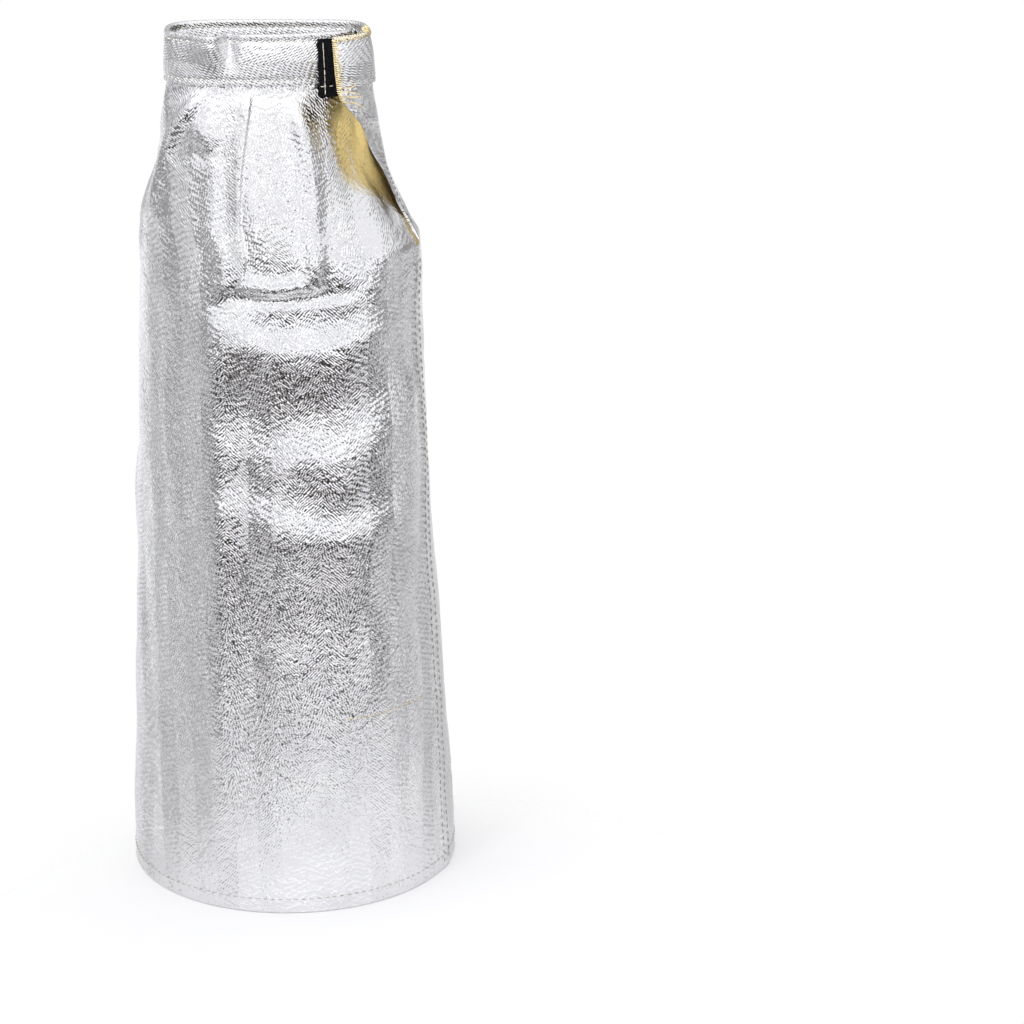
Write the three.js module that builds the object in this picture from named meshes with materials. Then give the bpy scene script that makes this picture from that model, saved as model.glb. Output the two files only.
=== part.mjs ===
import * as THREE from 'three';

const { clamp, euclideanModulo, smoothstep } = THREE.MathUtils;

// A forearm sleeve of aluminized twill, standing on its hem with the wrist cuff up.
// Millimetres, +Z along the sleeve, +X across the cuff, the front facing -Y,
// and the origin on the ground under the middle of the hem.

const SLEEVE_LENGTH = 400;
const CLOTH_WALL = 1.2;
const HEM_DEPTH = 9;
const HEM_LAYER = 1.0;
const HEM_STEP = 1.5;
const HEM_SETTLE = { from: 2, to: 24 };

const CUFF_HEIGHT = 22;
const CUFF_LEAF = 1.0;
const CUFF_RIM_HALF = 1.25;
const CUFF_RIM_ROUND = { drop: 0.8, inset: 0.6 };
const CUFF_SLOT_DEPTH = 9;
const CUFF_HOLD_RUN = 9;
const CUFF_BOTTOM = SLEEVE_LENGTH - CUFF_HEIGHT;
const CUFF_TAPER_MIDDLE = SLEEVE_LENGTH - 9;

const SEWN_GAP = 0.3;
const SLOT_HALF = CLOTH_WALL / 2 + SEWN_GAP;
const CUFF_FOOT_HALF = SLOT_HALF + CUFF_LEAF;

const TAPE_THICKNESS = 1.0;
const TAPE_LOWER_EDGE = 372.5;
const TAPE_UPPER_EDGE = 397.5;
const TAPE_OFFSET = CUFF_FOOT_HALF + SEWN_GAP;

const VENT_BOTTOM = 302;
const TUCK_RUN = 26;
const PANEL_END = { from: 24, turn: 14, share: 0.75, underCuff: 6, run: 12 };
const LIFT_RUN = 26;
const FLARE_RUN = 26;

const FOLD_FADE = 0.18;
const SECTION_SAMPLES = 360;
const CURVE_SAMPLES = 14;

// One row for each level section: half sizes, corner squareness and the middle of the section.
const SECTIONS = [
  { height: 0, halfWidth: 76.4, halfDepth: 75.4, squareness: 2.0, middleX: 0, middleY: 0 },
  { height: 40, halfWidth: 74.6, halfDepth: 73, squareness: 2.1, middleX: -0.4, middleY: 0 },
  { height: 100, halfWidth: 71.5, halfDepth: 68, squareness: 2.25, middleX: -1, middleY: 0 },
  { height: 176, halfWidth: 67.4, halfDepth: 61.5, squareness: 2.4, middleX: -1.7, middleY: 0 },
  { height: 225, halfWidth: 65, halfDepth: 57, squareness: 2.45, middleX: -1.6, middleY: 0 },
  { height: 273, halfWidth: 63.3, halfDepth: 53.5, squareness: 2.45, middleX: -1, middleY: 0 },
  { height: 303, halfWidth: 62.4, halfDepth: 48.4, squareness: 2.4, middleX: -0.9, middleY: 0 },
  { height: 310, halfWidth: 60.2, halfDepth: 46.4, squareness: 2.4, middleX: -2.5, middleY: 0 },
  { height: 320, halfWidth: 56.7, halfDepth: 43, squareness: 2.4, middleX: -5.1, middleY: 0 },
  { height: 348, halfWidth: 47.9, halfDepth: 32, squareness: 2.5, middleX: -6.7, middleY: -1 },
  { height: 369, halfWidth: 45.1, halfDepth: 22, squareness: 2.7, middleX: -6.4, middleY: -3.2 },
  { height: 377, halfWidth: 43.3, halfDepth: 17.6, squareness: 2.8, middleX: -6, middleY: -4.4 },
  { height: 400, halfWidth: 42.2, halfDepth: 16.2, squareness: 3.2, middleX: -6.8, middleY: -0.8 },
];

// The side seam and the vent above it: share of the girth from the middle of the front to the
// flap's edge, how far the front panel runs on under the flap, how the two part, and how far the
// flap's edge turns outward.
const VENT = [
  { height: 0, share: 0.2, lap: 0, tuck: 0, lift: 0, flare: 0 },
  { height: 275, share: 0.205, lap: 0, tuck: 0, lift: 0, flare: 0 },
  { height: 302, share: 0.225, lap: 0, tuck: 0, lift: 0, flare: 0 },
  { height: 309, share: 0.236, lap: -1.6, tuck: 1.6, lift: 0.8, flare: 0 },
  { height: 317, share: 0.24, lap: 10, tuck: 3.6, lift: 1.8, flare: 0 },
  { height: 326, share: 0.232, lap: 18, tuck: 4.8, lift: 2.4, flare: 0.6 },
  { height: 337, share: 0.205, lap: 25, tuck: 5.6, lift: 3, flare: 2.4 },
  { height: 359, share: 0.175, lap: 28, tuck: 5.4, lift: 3.4, flare: 4.6 },
  { height: 374, share: 0.152, lap: 28, tuck: 4, lift: 3.5, flare: 5 },
  { height: 400, share: 0.15, lap: 28, tuck: 3.5, lift: 3.5, flare: 5 },
];

// Fold lines as [X, Z] in the front view. right and left are the reaches on either side of the
// line, above and below it where the line runs across, rise is outward, and fade, where a row has
// it, is the share of the line over which the fold dies away at each end.
const FRONT_FOLDS = {
  left_pleat: { from: [-26, 382], via: [-46, 356], to: [-57, 316], rise: 2, right: 3, left: 5 },
  dome_crease: { from: [-46, 343], via: [-37, 351], to: [-29, 345], rise: -0.9, right: 4.5, left: 4 },
  centre_pleat: { from: [-11, 382], via: [-16.5, 339], to: [-16.5, 288], rise: 2, right: 3, left: 5 },
  pleat_return: { from: [-25, 350], via: [-27, 322], to: [-23, 284], rise: 2, right: 4, left: 6 },
  welt_right: { from: [9, 372], via: [16.3, 333], to: [14, 287], rise: 3.2, right: 5, left: 4 },
  welt_bottom: { from: [-18, 294.5], via: [-1, 291.5], to: [16, 294.5], rise: 2.2, right: 5, left: 3 },
  waist_crease: {
    from: [-31, 289], via: [0, 287.5], to: [40, 290.5], rise: -2, right: 3, left: 5, fade: 0.32,
  },
  smile_crest: { from: [-36, 280], via: [4, 263], to: [55, 274], rise: 3.8, right: 9, left: 34, fade: 0.3 },
  middle_crest: {
    from: [-34, 216], via: [22, 212], to: [62, 240], rise: 6.6, right: 18, left: 44, fade: 0.42,
  },
  lower_crest: {
    from: [-32, 200], via: [18, 177], to: [62, 190], rise: 4.8, right: 12, left: 36, fade: 0.42,
  },
  low_crest: { from: [-24, 90], via: [22, 98], to: [64, 118], rise: 4, right: 40, left: 44, fade: 0.42 },
  front_trough: { from: [-16, 262], via: [-12, 190], to: [-14, 96], rise: -1.1, right: 20, left: 9 },
  left_corner: { from: [-30, 286], via: [-28, 170], to: [-30, 12], rise: 1.6, right: 7, left: 9 },
  right_corner: { from: [55, 282], via: [57, 170], to: [61, 30], rise: 1.2, right: 7, left: 8 },
};

// Fold lines of the back, seen through from the front.
const BACK_FOLDS = {
  back_pleat_left: { from: [-20, 380], via: [-26, 345], to: [-28, 305], rise: 3.4, right: 5, left: 9 },
  back_pleat_right: { from: [14, 380], via: [20, 345], to: [22, 305], rise: 3.4, right: 9, left: 5 },
  back_crease: { from: [-34, 294], via: [-2, 285], to: [30, 291], rise: -4, right: 7, left: 10 },
  back_valley: { from: [-34, 224], via: [4, 206], to: [38, 218], rise: -2.6, right: 14, left: 16 },
};

// Puffed or hollowed areas: middle in the front view, reach each way and flatness of the top.
const PUFFS = [
  { name: 'centre_panel', across: -1, height: 332, reachAcross: 16, reachHeight: 40, flatness: 4, rise: 3.2 },
  { name: 'left_dome', across: -29, height: 358, reachAcross: 9, reachHeight: 10, flatness: 2, rise: 3 },
  { name: 'right_pillow', across: 40, height: 294, reachAcross: 17, reachHeight: 28, flatness: 2, rise: 3 },
  { name: 'vent_hollow', across: 35, height: 343, reachAcross: 9, reachHeight: 22, flatness: 2, rise: -1.4 },
];

// The cuff's front rim bulges at its left and is creased inward beside the bulge.
const CUFF_DENTS = [
  { name: 'left_bulge', across: -28, height: 399, reachAcross: 8.5, reachHeight: 16, flatness: 2, rise: 6 },
  { name: 'rim_crease', across: -21, height: 399, reachAcross: 3.4, reachHeight: 18, flatness: 2, rise: -6 },
];

const SEAM = { halfWidth: 5, rise: 0.7, flatness: 4, fade: 8 };

// Rows up the body and columns round it, closest where the folds are.
const ROW_SPANS = [
  { to: HEM_DEPTH, steps: 1 },
  { to: HEM_DEPTH + HEM_STEP, steps: 1 },
  { to: 106, steps: 4 },
  { to: 160, steps: 4 },
  { to: 262, steps: 10 },
  { to: 283, steps: 3 },
  { to: 295, steps: 4 },
  { to: VENT_BOTTOM, steps: 2 },
  { to: CUFF_BOTTOM, steps: 11 },
  { to: CUFF_BOTTOM + CUFF_SLOT_DEPTH - SEWN_GAP, steps: 1 },
];
const COLUMN_SPANS = [
  { to: 0.38, steps: 31 },
  { to: 0.86, steps: 16 },
  { to: 1, steps: 8 },
];
const LOOP_COLUMNS = { first: 1, last: 12 };
const HOOK_COLUMNS = { first: 50, last: 54 };

function spread(spans) {
  const values = [0];
  for (const span of spans) {
    const start = values[values.length - 1];
    for (let step = 1; step <= span.steps; step += 1) {
      values.push(start + (span.to - start) * (step / span.steps));
    }
  }
  return values;
}

const ROWS = spread(ROW_SPANS);
const COLUMNS = spread(COLUMN_SPANS);

// Smooth reading of a table column that never overshoots its rows.
function readTable(table, column, height) {
  const last = table.length - 1;
  const level = clamp(height, table[0].height, table[last].height);
  const upper = Math.max(1, table.findIndex((row) => row.height >= level));
  const lower = upper - 1;
  const run = (k) => table[k + 1].height - table[k].height;
  const slope = (k) => (table[k + 1][column] - table[k][column]) / run(k);
  const tangent = (k) => {
    if (k === 0) return slope(0);
    if (k === last) return slope(last - 1);
    const before = slope(k - 1);
    const after = slope(k);
    return before * after <= 0 ? 0 : (2 * before * after) / (before + after);
  };
  const span = run(lower);
  const t = (level - table[lower].height) / span;
  const rest = 1 - t;
  const start = table[lower][column] * (1 + 2 * t) + tangent(lower) * span * t;
  const end = table[upper][column] * (1 + 2 * rest) - tangent(upper) * span * rest;
  return start * rest * rest + end * t * t;
}

// A level section of the sleeve, walked from the middle of the front toward +X.
class Section {
  constructor(height) {
    const halfWidth = readTable(SECTIONS, 'halfWidth', height);
    const halfDepth = readTable(SECTIONS, 'halfDepth', height);
    const power = 2 / readTable(SECTIONS, 'squareness', height);
    const middleX = readTable(SECTIONS, 'middleX', height);
    const middleY = readTable(SECTIONS, 'middleY', height);
    const bend = (value) => Math.sign(value) * Math.abs(value) ** power;
    this.points = [];
    this.walked = [0];
    for (let step = 0; step <= SECTION_SAMPLES; step += 1) {
      const angle = (2 * Math.PI * step) / SECTION_SAMPLES - Math.PI / 2;
      const x = middleX + halfWidth * bend(Math.cos(angle));
      const y = middleY + halfDepth * bend(Math.sin(angle));
      this.points.push(new THREE.Vector2(x, y));
      if (step > 0) {
        const stride = this.points[step].distanceTo(this.points[step - 1]);
        this.walked.push(this.walked[step - 1] + stride);
      }
    }
    this.girth = this.walked[SECTION_SAMPLES];
  }

  place(arc) {
    const wrapped = euclideanModulo(arc, this.girth);
    const upper = Math.max(1, this.walked.findIndex((walked) => walked >= wrapped));
    const start = this.walked[upper - 1];
    const share = (wrapped - start) / (this.walked[upper] - start);
    return new THREE.Vector2().lerpVectors(this.points[upper - 1], this.points[upper], share);
  }

  outward(arc) {
    const stride = 0.8;
    const ahead = this.place(arc + stride);
    const behind = this.place(arc - stride);
    return new THREE.Vector2(ahead.y - behind.y, behind.x - ahead.x).normalize();
  }

  arcAtX(x, back) {
    const quarter = SECTION_SAMPLES / 4;
    const middle = back ? 2 * quarter : 0;
    let nearest = middle;
    for (let step = middle - quarter; step <= middle + quarter; step += 1) {
      const index = euclideanModulo(step, SECTION_SAMPLES);
      const miss = Math.abs(this.points[index].x - x);
      if (miss < Math.abs(this.points[nearest].x - x)) nearest = index;
    }
    return this.fromMiddle(this.walked[nearest], back);
  }

  // Arc counted from the middle of the front, or of the back, within half a girth each way.
  fromMiddle(arc, back) {
    const half = this.girth / 2;
    return euclideanModulo(back ? arc : arc + half, this.girth) - half;
  }
}

const sections = new Map();
function sectionAt(height) {
  if (!sections.has(height)) sections.set(height, new Section(height));
  return sections.get(height);
}

// Fold lines are laid out on the unrolled cloth, as arc from the middle of their face and height.
function unrolled([x, height], back) {
  return new THREE.Vector2(sectionAt(height).arcAtX(x, back), height);
}

function layFold(fold, back) {
  const knots = [fold.from, fold.via, fold.to].map((knot) => unrolled(knot, back));
  return { fade: FOLD_FADE, ...fold, line: new THREE.SplineCurve(knots).getPoints(CURVE_SAMPLES) };
}

const frontLines = Object.values(FRONT_FOLDS).map((fold) => layFold(fold, false));
const backLines = Object.values(BACK_FOLDS).map((fold) => layFold(fold, true));

const layOut = (puff) => ({ ...puff, middle: unrolled([puff.across, puff.height], false) });
const puffAreas = PUFFS.map(layOut);
const dentAreas = CUFF_DENTS.map(layOut);

// A fold is full along its line and dies away at both ends.
function foldRise(fold, spot) {
  let best = { distance: Infinity, side: 0, share: 0 };
  fold.line.slice(1).forEach((end, index) => {
    const start = fold.line[index];
    const along = end.clone().sub(start);
    const offset = spot.clone().sub(start);
    const share = clamp(offset.dot(along) / along.lengthSq(), 0, 1);
    const distance = offset.clone().addScaledVector(along, -share).length();
    if (distance < best.distance) {
      best = { distance, side: along.cross(offset), share: (index + share) / CURVE_SAMPLES };
    }
  });
  const reach = best.side > 0 ? fold.right : fold.left;
  const ends = smoothstep(best.share, 0, fold.fade) * smoothstep(1 - best.share, 0, fold.fade);
  return fold.rise * ends * Math.exp(-((best.distance / reach) ** 2));
}

function puffRise(puff, spot) {
  const across = Math.abs(spot.x - puff.middle.x) / puff.reachAcross;
  const up = Math.abs(spot.y - puff.middle.y) / puff.reachHeight;
  return puff.rise * Math.exp(-(across ** puff.flatness) - up ** puff.flatness);
}

// How far the cloth stands off its level section at a spot of the unrolled sleeve.
function standOff(section, arc, height) {
  const front = new THREE.Vector2(section.fromMiddle(arc, false), height);
  const back = new THREE.Vector2(section.fromMiddle(arc, true), height);
  const cuffHold = smoothstep(CUFF_BOTTOM - height, 0, CUFF_HOLD_RUN);
  const rimGive = smoothstep(height, CUFF_BOTTOM + CUFF_SLOT_DEPTH, SLEEVE_LENGTH);
  let rise = 0;
  for (const fold of frontLines) {
    rise += cuffHold * foldRise(fold, front);
  }
  for (const fold of backLines) {
    rise += cuffHold * foldRise(fold, back);
  }
  for (const puff of puffAreas) {
    rise += cuffHold * puffRise(puff, front);
  }
  for (const dent of dentAreas) {
    rise += rimGive * puffRise(dent, front);
  }
  return rise * smoothstep(height, HEM_SETTLE.from, HEM_SETTLE.to);
}

// The sleeve is one strip: it starts at the front panel's end under the flap, runs across the
// front to the left, round the back and ends at the flap's free edge.
function stripSpot(share, height) {
  const section = sectionAt(height);
  const lap = height > VENT_BOTTOM ? readTable(VENT, 'lap', height) : 0;
  const edge = section.girth * readTable(VENT, 'share', height);
  const length = section.girth + lap;
  const fromStart = share * length;
  const fromFlap = length - fromStart;
  const arc = edge + lap - fromStart;
  const sunk = readTable(VENT, 'tuck', height) * smoothstep(lap + TUCK_RUN - fromStart, 0, TUCK_RUN);
  const belowCuff = smoothstep(CUFF_BOTTOM - PANEL_END.underCuff - height, 0, PANEL_END.run);
  const closing = PANEL_END.share * belowCuff * smoothstep(PANEL_END.from - fromStart, 0, PANEL_END.turn);
  const tuck = sunk * (1 - closing);
  const lift = readTable(VENT, 'lift', height) * smoothstep(lap + LIFT_RUN - fromFlap, 0, LIFT_RUN);
  const flare = readTable(VENT, 'flare', height) * smoothstep(FLARE_RUN - fromFlap, 0, FLARE_RUN);
  const seamReach = Math.min(fromStart, fromFlap) / SEAM.halfWidth;
  const seamHold = smoothstep(VENT_BOTTOM - height, -SEAM.fade, 0);
  return {
    base: section.place(arc),
    outward: section.outward(arc),
    stand: standOff(section, arc, height) + lift + flare - tuck,
    seam: SEAM.rise * seamHold * Math.exp(-(seamReach ** SEAM.flatness)),
  };
}

function layerPoint(spot, height, offset) {
  const reach = spot.stand + offset;
  return new THREE.Vector3(
    spot.base.x + spot.outward.x * reach,
    spot.base.y + spot.outward.y * reach,
    height,
  );
}

class ClosedSurface {
  constructor() {
    this.positions = [];
    this.triangles = [];
  }

  vertex(point) {
    this.positions.push(point.x, point.y, point.z);
    return this.positions.length / 3 - 1;
  }

  quad(a, b, c, d) {
    this.triangles.push(a, b, c, a, c, d);
  }

  geometry() {
    const geometry = new THREE.BufferGeometry();
    geometry.setAttribute('position', new THREE.Float32BufferAttribute(this.positions, 3));
    geometry.setIndex(this.triangles);
    geometry.computeVertexNormals();
    return geometry;
  }
}

// Closed below the vent, where the strip's two edges are sewn, and open above it.
function sleeveBody() {
  const surface = new ClosedSurface();
  const lastColumn = COLUMNS.length - 1;
  const lastRow = ROWS.length - 1;
  const outer = [];
  const inner = [];
  for (const height of ROWS) {
    const sewn = height <= VENT_BOTTOM;
    const outerRow = [];
    const innerRow = [];
    COLUMNS.forEach((share, column) => {
      if (sewn && column === lastColumn) {
        outerRow.push(outerRow[0]);
        innerRow.push(innerRow[0]);
        return;
      }
      const spot = stripSpot(share, height);
      const lining = height <= HEM_DEPTH ? HEM_LAYER : 0;
      outerRow.push(surface.vertex(layerPoint(spot, height, CLOTH_WALL / 2 + spot.seam)));
      innerRow.push(surface.vertex(layerPoint(spot, height, -CLOTH_WALL / 2 - lining)));
    });
    outer.push(outerRow);
    inner.push(innerRow);
  }
  for (let row = 0; row < lastRow; row += 1) {
    for (let column = 0; column < lastColumn; column += 1) {
      surface.quad(
        outer[row][column], outer[row + 1][column], outer[row + 1][column + 1], outer[row][column + 1],
      );
      surface.quad(
        inner[row][column], inner[row][column + 1], inner[row + 1][column + 1], inner[row + 1][column],
      );
    }
    if (ROWS[row + 1] > VENT_BOTTOM) {
      surface.quad(inner[row][0], inner[row + 1][0], outer[row + 1][0], outer[row][0]);
      surface.quad(
        outer[row][lastColumn], outer[row + 1][lastColumn],
        inner[row + 1][lastColumn], inner[row][lastColumn],
      );
    }
  }
  for (let column = 0; column < lastColumn; column += 1) {
    surface.quad(inner[0][column], outer[0][column], outer[0][column + 1], inner[0][column + 1]);
    surface.quad(
      outer[lastRow][column], inner[lastRow][column], inner[lastRow][column + 1], outer[lastRow][column + 1],
    );
  }
  return surface.geometry();
}

// A profile of [offset, height] corners carried along a run of columns and capped at both ends.
function sweptStrip(profile, first, last) {
  const surface = new ClosedSurface();
  const rings = [];
  for (let column = first; column <= last; column += 1) {
    rings.push(profile.map(([offset, height]) => {
      const spot = stripSpot(COLUMNS[column], height);
      return surface.vertex(layerPoint(spot, height, offset));
    }));
  }
  for (let ring = 0; ring < rings.length - 1; ring += 1) {
    profile.forEach((_, corner) => {
      const next = (corner + 1) % profile.length;
      surface.quad(rings[ring][corner], rings[ring][next], rings[ring + 1][next], rings[ring + 1][corner]);
    });
  }
  const outline = profile.map(([offset, height]) => new THREE.Vector2(offset, height));
  for (const [a, b, c] of THREE.ShapeUtils.triangulateShape(outline, [])) {
    const start = rings[0];
    const end = rings[rings.length - 1];
    surface.triangles.push(start[a], start[c], start[b], end[a], end[b], end[c]);
  }
  return surface.geometry();
}

// The folded strip: two leaves that take the body's edge between them and meet at the rim.
function cuffBand() {
  const slotTop = CUFF_BOTTOM + CUFF_SLOT_DEPTH;
  const rimFoot = SLEEVE_LENGTH - CUFF_RIM_ROUND.drop;
  const rimTopHalf = CUFF_RIM_HALF - CUFF_RIM_ROUND.inset;
  const middleHalf = (CUFF_FOOT_HALF + CUFF_RIM_HALF) / 2;
  const profile = [
    [SLOT_HALF, CUFF_BOTTOM],
    [CUFF_FOOT_HALF, CUFF_BOTTOM],
    [CUFF_FOOT_HALF, slotTop],
    [middleHalf, CUFF_TAPER_MIDDLE],
    [CUFF_RIM_HALF, rimFoot],
    [rimTopHalf, SLEEVE_LENGTH],
    [-rimTopHalf, SLEEVE_LENGTH],
    [-CUFF_RIM_HALF, rimFoot],
    [-middleHalf, CUFF_TAPER_MIDDLE],
    [-CUFF_FOOT_HALF, slotTop],
    [-CUFF_FOOT_HALF, CUFF_BOTTOM],
    [-SLOT_HALF, CUFF_BOTTOM],
    [-SLOT_HALF, slotTop],
    [SLOT_HALF, slotTop],
  ];
  return sweptStrip(profile, 0, COLUMNS.length - 1);
}

// A length of closure tape that lies along one face of the cuff.
function closureTape(side, columns) {
  const near = side * TAPE_OFFSET;
  const far = side * (TAPE_OFFSET + TAPE_THICKNESS);
  const levels = [TAPE_LOWER_EDGE, CUFF_BOTTOM, CUFF_BOTTOM + CUFF_SLOT_DEPTH, TAPE_UPPER_EDGE];
  const up = levels.map((height) => [Math.max(near, far), height]);
  const down = levels.toReversed().map((height) => [Math.min(near, far), height]);
  return sweptStrip([...up, ...down], columns.first, columns.last);
}

const aluminizedCloth = new THREE.MeshStandardMaterial({ color: 0xc9cacd, roughness: 0.32, metalness: 0.9 });
const cuffCloth = new THREE.MeshStandardMaterial({ color: 0xcdced1, roughness: 0.3, metalness: 0.9 });
const loopPile = new THREE.MeshStandardMaterial({ color: 0x131313, roughness: 0.9, metalness: 0 });
const hookPile = new THREE.MeshStandardMaterial({ color: 0x171717, roughness: 0.8, metalness: 0 });

function named(name, geometry, material) {
  const mesh = new THREE.Mesh(geometry, material);
  mesh.name = name;
  return mesh;
}

const sleeve = new THREE.Group();
sleeve.name = 'aluminized_sleeve';
sleeve.add(named('sleeve_body', sleeveBody(), aluminizedCloth));
sleeve.add(named('cuff_band', cuffBand(), cuffCloth));
sleeve.add(named('loop_strip', closureTape(1, LOOP_COLUMNS), loopPile));
sleeve.add(named('hook_strip', closureTape(-1, HOOK_COLUMNS), hookPile));

export default sleeve;
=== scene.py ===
"""An aluminized forearm sleeve: fine cloth, cuff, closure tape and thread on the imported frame."""

import logging
import math
from dataclasses import dataclass, field
from enum import Enum
from functools import lru_cache
from typing import Callable, Optional, Sequence

import bpy
import numpy as np
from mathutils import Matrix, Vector


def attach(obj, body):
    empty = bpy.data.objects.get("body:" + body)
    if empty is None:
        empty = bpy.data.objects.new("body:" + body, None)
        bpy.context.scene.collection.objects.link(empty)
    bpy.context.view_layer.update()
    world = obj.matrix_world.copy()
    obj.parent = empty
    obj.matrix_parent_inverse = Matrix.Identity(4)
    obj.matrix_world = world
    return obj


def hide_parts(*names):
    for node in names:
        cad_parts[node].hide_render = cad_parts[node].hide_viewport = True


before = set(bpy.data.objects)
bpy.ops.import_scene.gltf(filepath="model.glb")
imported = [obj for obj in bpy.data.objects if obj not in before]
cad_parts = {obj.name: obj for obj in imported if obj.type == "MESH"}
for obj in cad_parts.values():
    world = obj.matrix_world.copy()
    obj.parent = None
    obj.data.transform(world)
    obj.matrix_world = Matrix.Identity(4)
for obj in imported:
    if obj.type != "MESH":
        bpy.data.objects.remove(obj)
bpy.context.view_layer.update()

LOG = logging.getLogger("aluminized_sleeve")
MM = 0.001
ROOT = "root"
Array = np.ndarray
Colour = tuple[float, float, float]
Spot = tuple[float, float, float]
Spans = tuple[tuple[float, int], ...]
Greys = tuple[tuple[float, float], ...]
Socket = bpy.types.NodeSocket
Material = bpy.types.Material
Piece = bpy.types.Object
Skin = Callable[[float, Array, float, int], Array]

SLEEVE_LENGTH = 400.0
CLOTH_WALL = 1.2
HEM_DEPTH = 9.0
HEM_LAYER = 1.0
HEM_STEP = 1.5
HEM_SETTLE = (2.0, 24.0)
CUFF_BOTTOM = 378.0
CUFF_SLOT_DEPTH = 9.0
CUFF_HOLD_RUN = 9.0
RIM_GIVE = (CUFF_BOTTOM + 1, SLEEVE_LENGTH - 5)
CUFF_RIM_HALF = 1.25
SEWN_GAP = 0.3
SLOT_HALF = CLOTH_WALL / 2 + SEWN_GAP
CUFF_FOOT_HALF = SLOT_HALF + 1.0
VENT_BOTTOM = 302.0
TUCK_RUN = 26.0
PANEL_END = 24.0
PANEL_TURN = 14.0
PANEL_RETURN = 0.75
PANEL_UNDER_CUFF = 6.0
PANEL_CLOSE_RUN = 12.0
LIFT_RUN = 26.0
FLARE_RUN = 26.0
SECTION_SAMPLES = 720
CURVE_SAMPLES = 14
SEAM_HALF_WIDTH = 5.0
SEAM_RISE = 0.7
SEAM_FLATNESS = 4
SEAM_FADE = 8.0
HEADING_STRIDE = 0.8
LATTICE_SIZE = 64


class Face(Enum):
    """The face of the sleeve that a fold is laid out on."""

    FRONT = "front"
    BACK = "back"


class Grain(Enum):
    """The way the weave's columns run on a piece."""

    ALONG = "along the sleeve"
    ROUND = "round the cuff"


@dataclass(frozen=True)
class SectionRow:
    """A level section of the sleeve, in millimetres."""

    height: float
    half_width: float
    half_depth: float
    squareness: float
    middle_x: float
    middle_y: float


@dataclass(frozen=True)
class VentRow:
    """The seam and vent at one height: girth share of the flap's edge, lap, parting and flare."""

    height: float
    share: float
    lap: float
    tuck: float
    lift: float
    flare: float


@dataclass(frozen=True)
class Fold:
    """A fold line given by three [X, Z] points of the front view, with its rise and reaches."""

    name: str
    start: tuple[float, float]
    bend: tuple[float, float]
    end: tuple[float, float]
    rise: float
    right: float
    left: float
    roll: float = 0.0
    fade: float = 0.18


@dataclass(frozen=True)
class Puff:
    """A puffed or hollowed area round a point of the front view."""

    name: str
    across: float
    height: float
    reach_across: float
    reach_height: float
    flatness: float
    rise: float


SECTIONS = (
    SectionRow(0, 76.4, 75.4, 2.0, 0, 0),
    SectionRow(40, 74.6, 73, 2.1, -0.4, 0),
    SectionRow(100, 71.5, 68, 2.25, -1, 0),
    SectionRow(176, 67.4, 61.5, 2.4, -1.7, 0),
    SectionRow(225, 65, 57, 2.45, -1.6, 0),
    SectionRow(273, 63.3, 53.5, 2.45, -1, 0),
    SectionRow(303, 62.4, 48.4, 2.4, -0.9, 0),
    SectionRow(310, 60.2, 46.4, 2.4, -2.5, 0),
    SectionRow(320, 56.7, 43, 2.4, -5.1, 0),
    SectionRow(348, 47.9, 32, 2.5, -6.7, -1),
    SectionRow(369, 45.1, 22, 2.7, -6.4, -3.2),
    SectionRow(377, 43.3, 17.6, 2.8, -6, -4.4),
    SectionRow(400, 42.2, 16.2, 3.2, -6.8, -0.8),
)

VENT = (
    VentRow(0, 0.2, 0, 0, 0, 0),
    VentRow(275, 0.205, 0, 0, 0, 0),
    VentRow(302, 0.225, 0, 0, 0, 0),
    VentRow(309, 0.236, -1.6, 1.6, 0.8, 0),
    VentRow(317, 0.24, 10, 3.6, 1.8, 0),
    VentRow(326, 0.232, 18, 4.8, 2.4, 0.6),
    VentRow(337, 0.205, 25, 5.6, 3, 2.4),
    VentRow(359, 0.175, 28, 5.4, 3.4, 4.6),
    VentRow(374, 0.152, 28, 4, 3.5, 5),
    VentRow(400, 0.15, 28, 3.5, 3.5, 5),
)

FRONT_FOLDS = (
    Fold("left_pleat", (-26, 382), (-46, 356), (-57, 316), 3.4, 3.4, 2.8),
    Fold("dome_crease", (-46, 343), (-37, 351), (-29, 345), -0.9, 4.5, 4),
    Fold("centre_pleat", (-11, 382), (-16.5, 339), (-16.5, 288), 2.0, 1.5, 5, 1.2),
    Fold("pleat_return", (-25, 350), (-27, 322), (-23, 284), 2, 4, 6),
    Fold("welt_right", (9, 372), (16.3, 333), (14, 287), 3.2, 5, 4),
    Fold("welt_bottom", (-18, 294.5), (-1, 291.5), (16, 294.5), 2.2, 5, 3),
    Fold("waist_crease", (-31, 289), (0, 287.5), (40, 290.5), -1.5, 3.8, 2.6, fade=0.32),
    Fold("waist_lens", (-26, 287.5), (4, 286), (40, 288.5), 0.5, 1.4, 6, fade=0.3),
    Fold("smile_crest", (-36, 280), (4, 263), (55, 274), 3.8, 9, 34, fade=0.3),
    Fold("middle_crest", (-34, 216), (22, 212), (62, 240), 6.6, 18, 44, fade=0.42),
    Fold("lower_crest", (-32, 200), (18, 177), (62, 190), 4.8, 12, 36, fade=0.42),
    Fold("low_crest", (-24, 90), (22, 98), (64, 118), 4.0, 40, 44, fade=0.42),
    Fold("front_trough", (-16, 262), (-12, 190), (-14, 96), -1.1, 20, 9),
    Fold("left_corner", (-30, 286), (-28, 170), (-30, 12), 1.6, 7, 9),
    Fold("left_groove", (-55, 292), (-54, 215), (-56, 110), -1.1, 3.5, 5),
    Fold("right_corner", (55, 282), (57, 170), (61, 30), 1.2, 7, 8),
)

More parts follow.
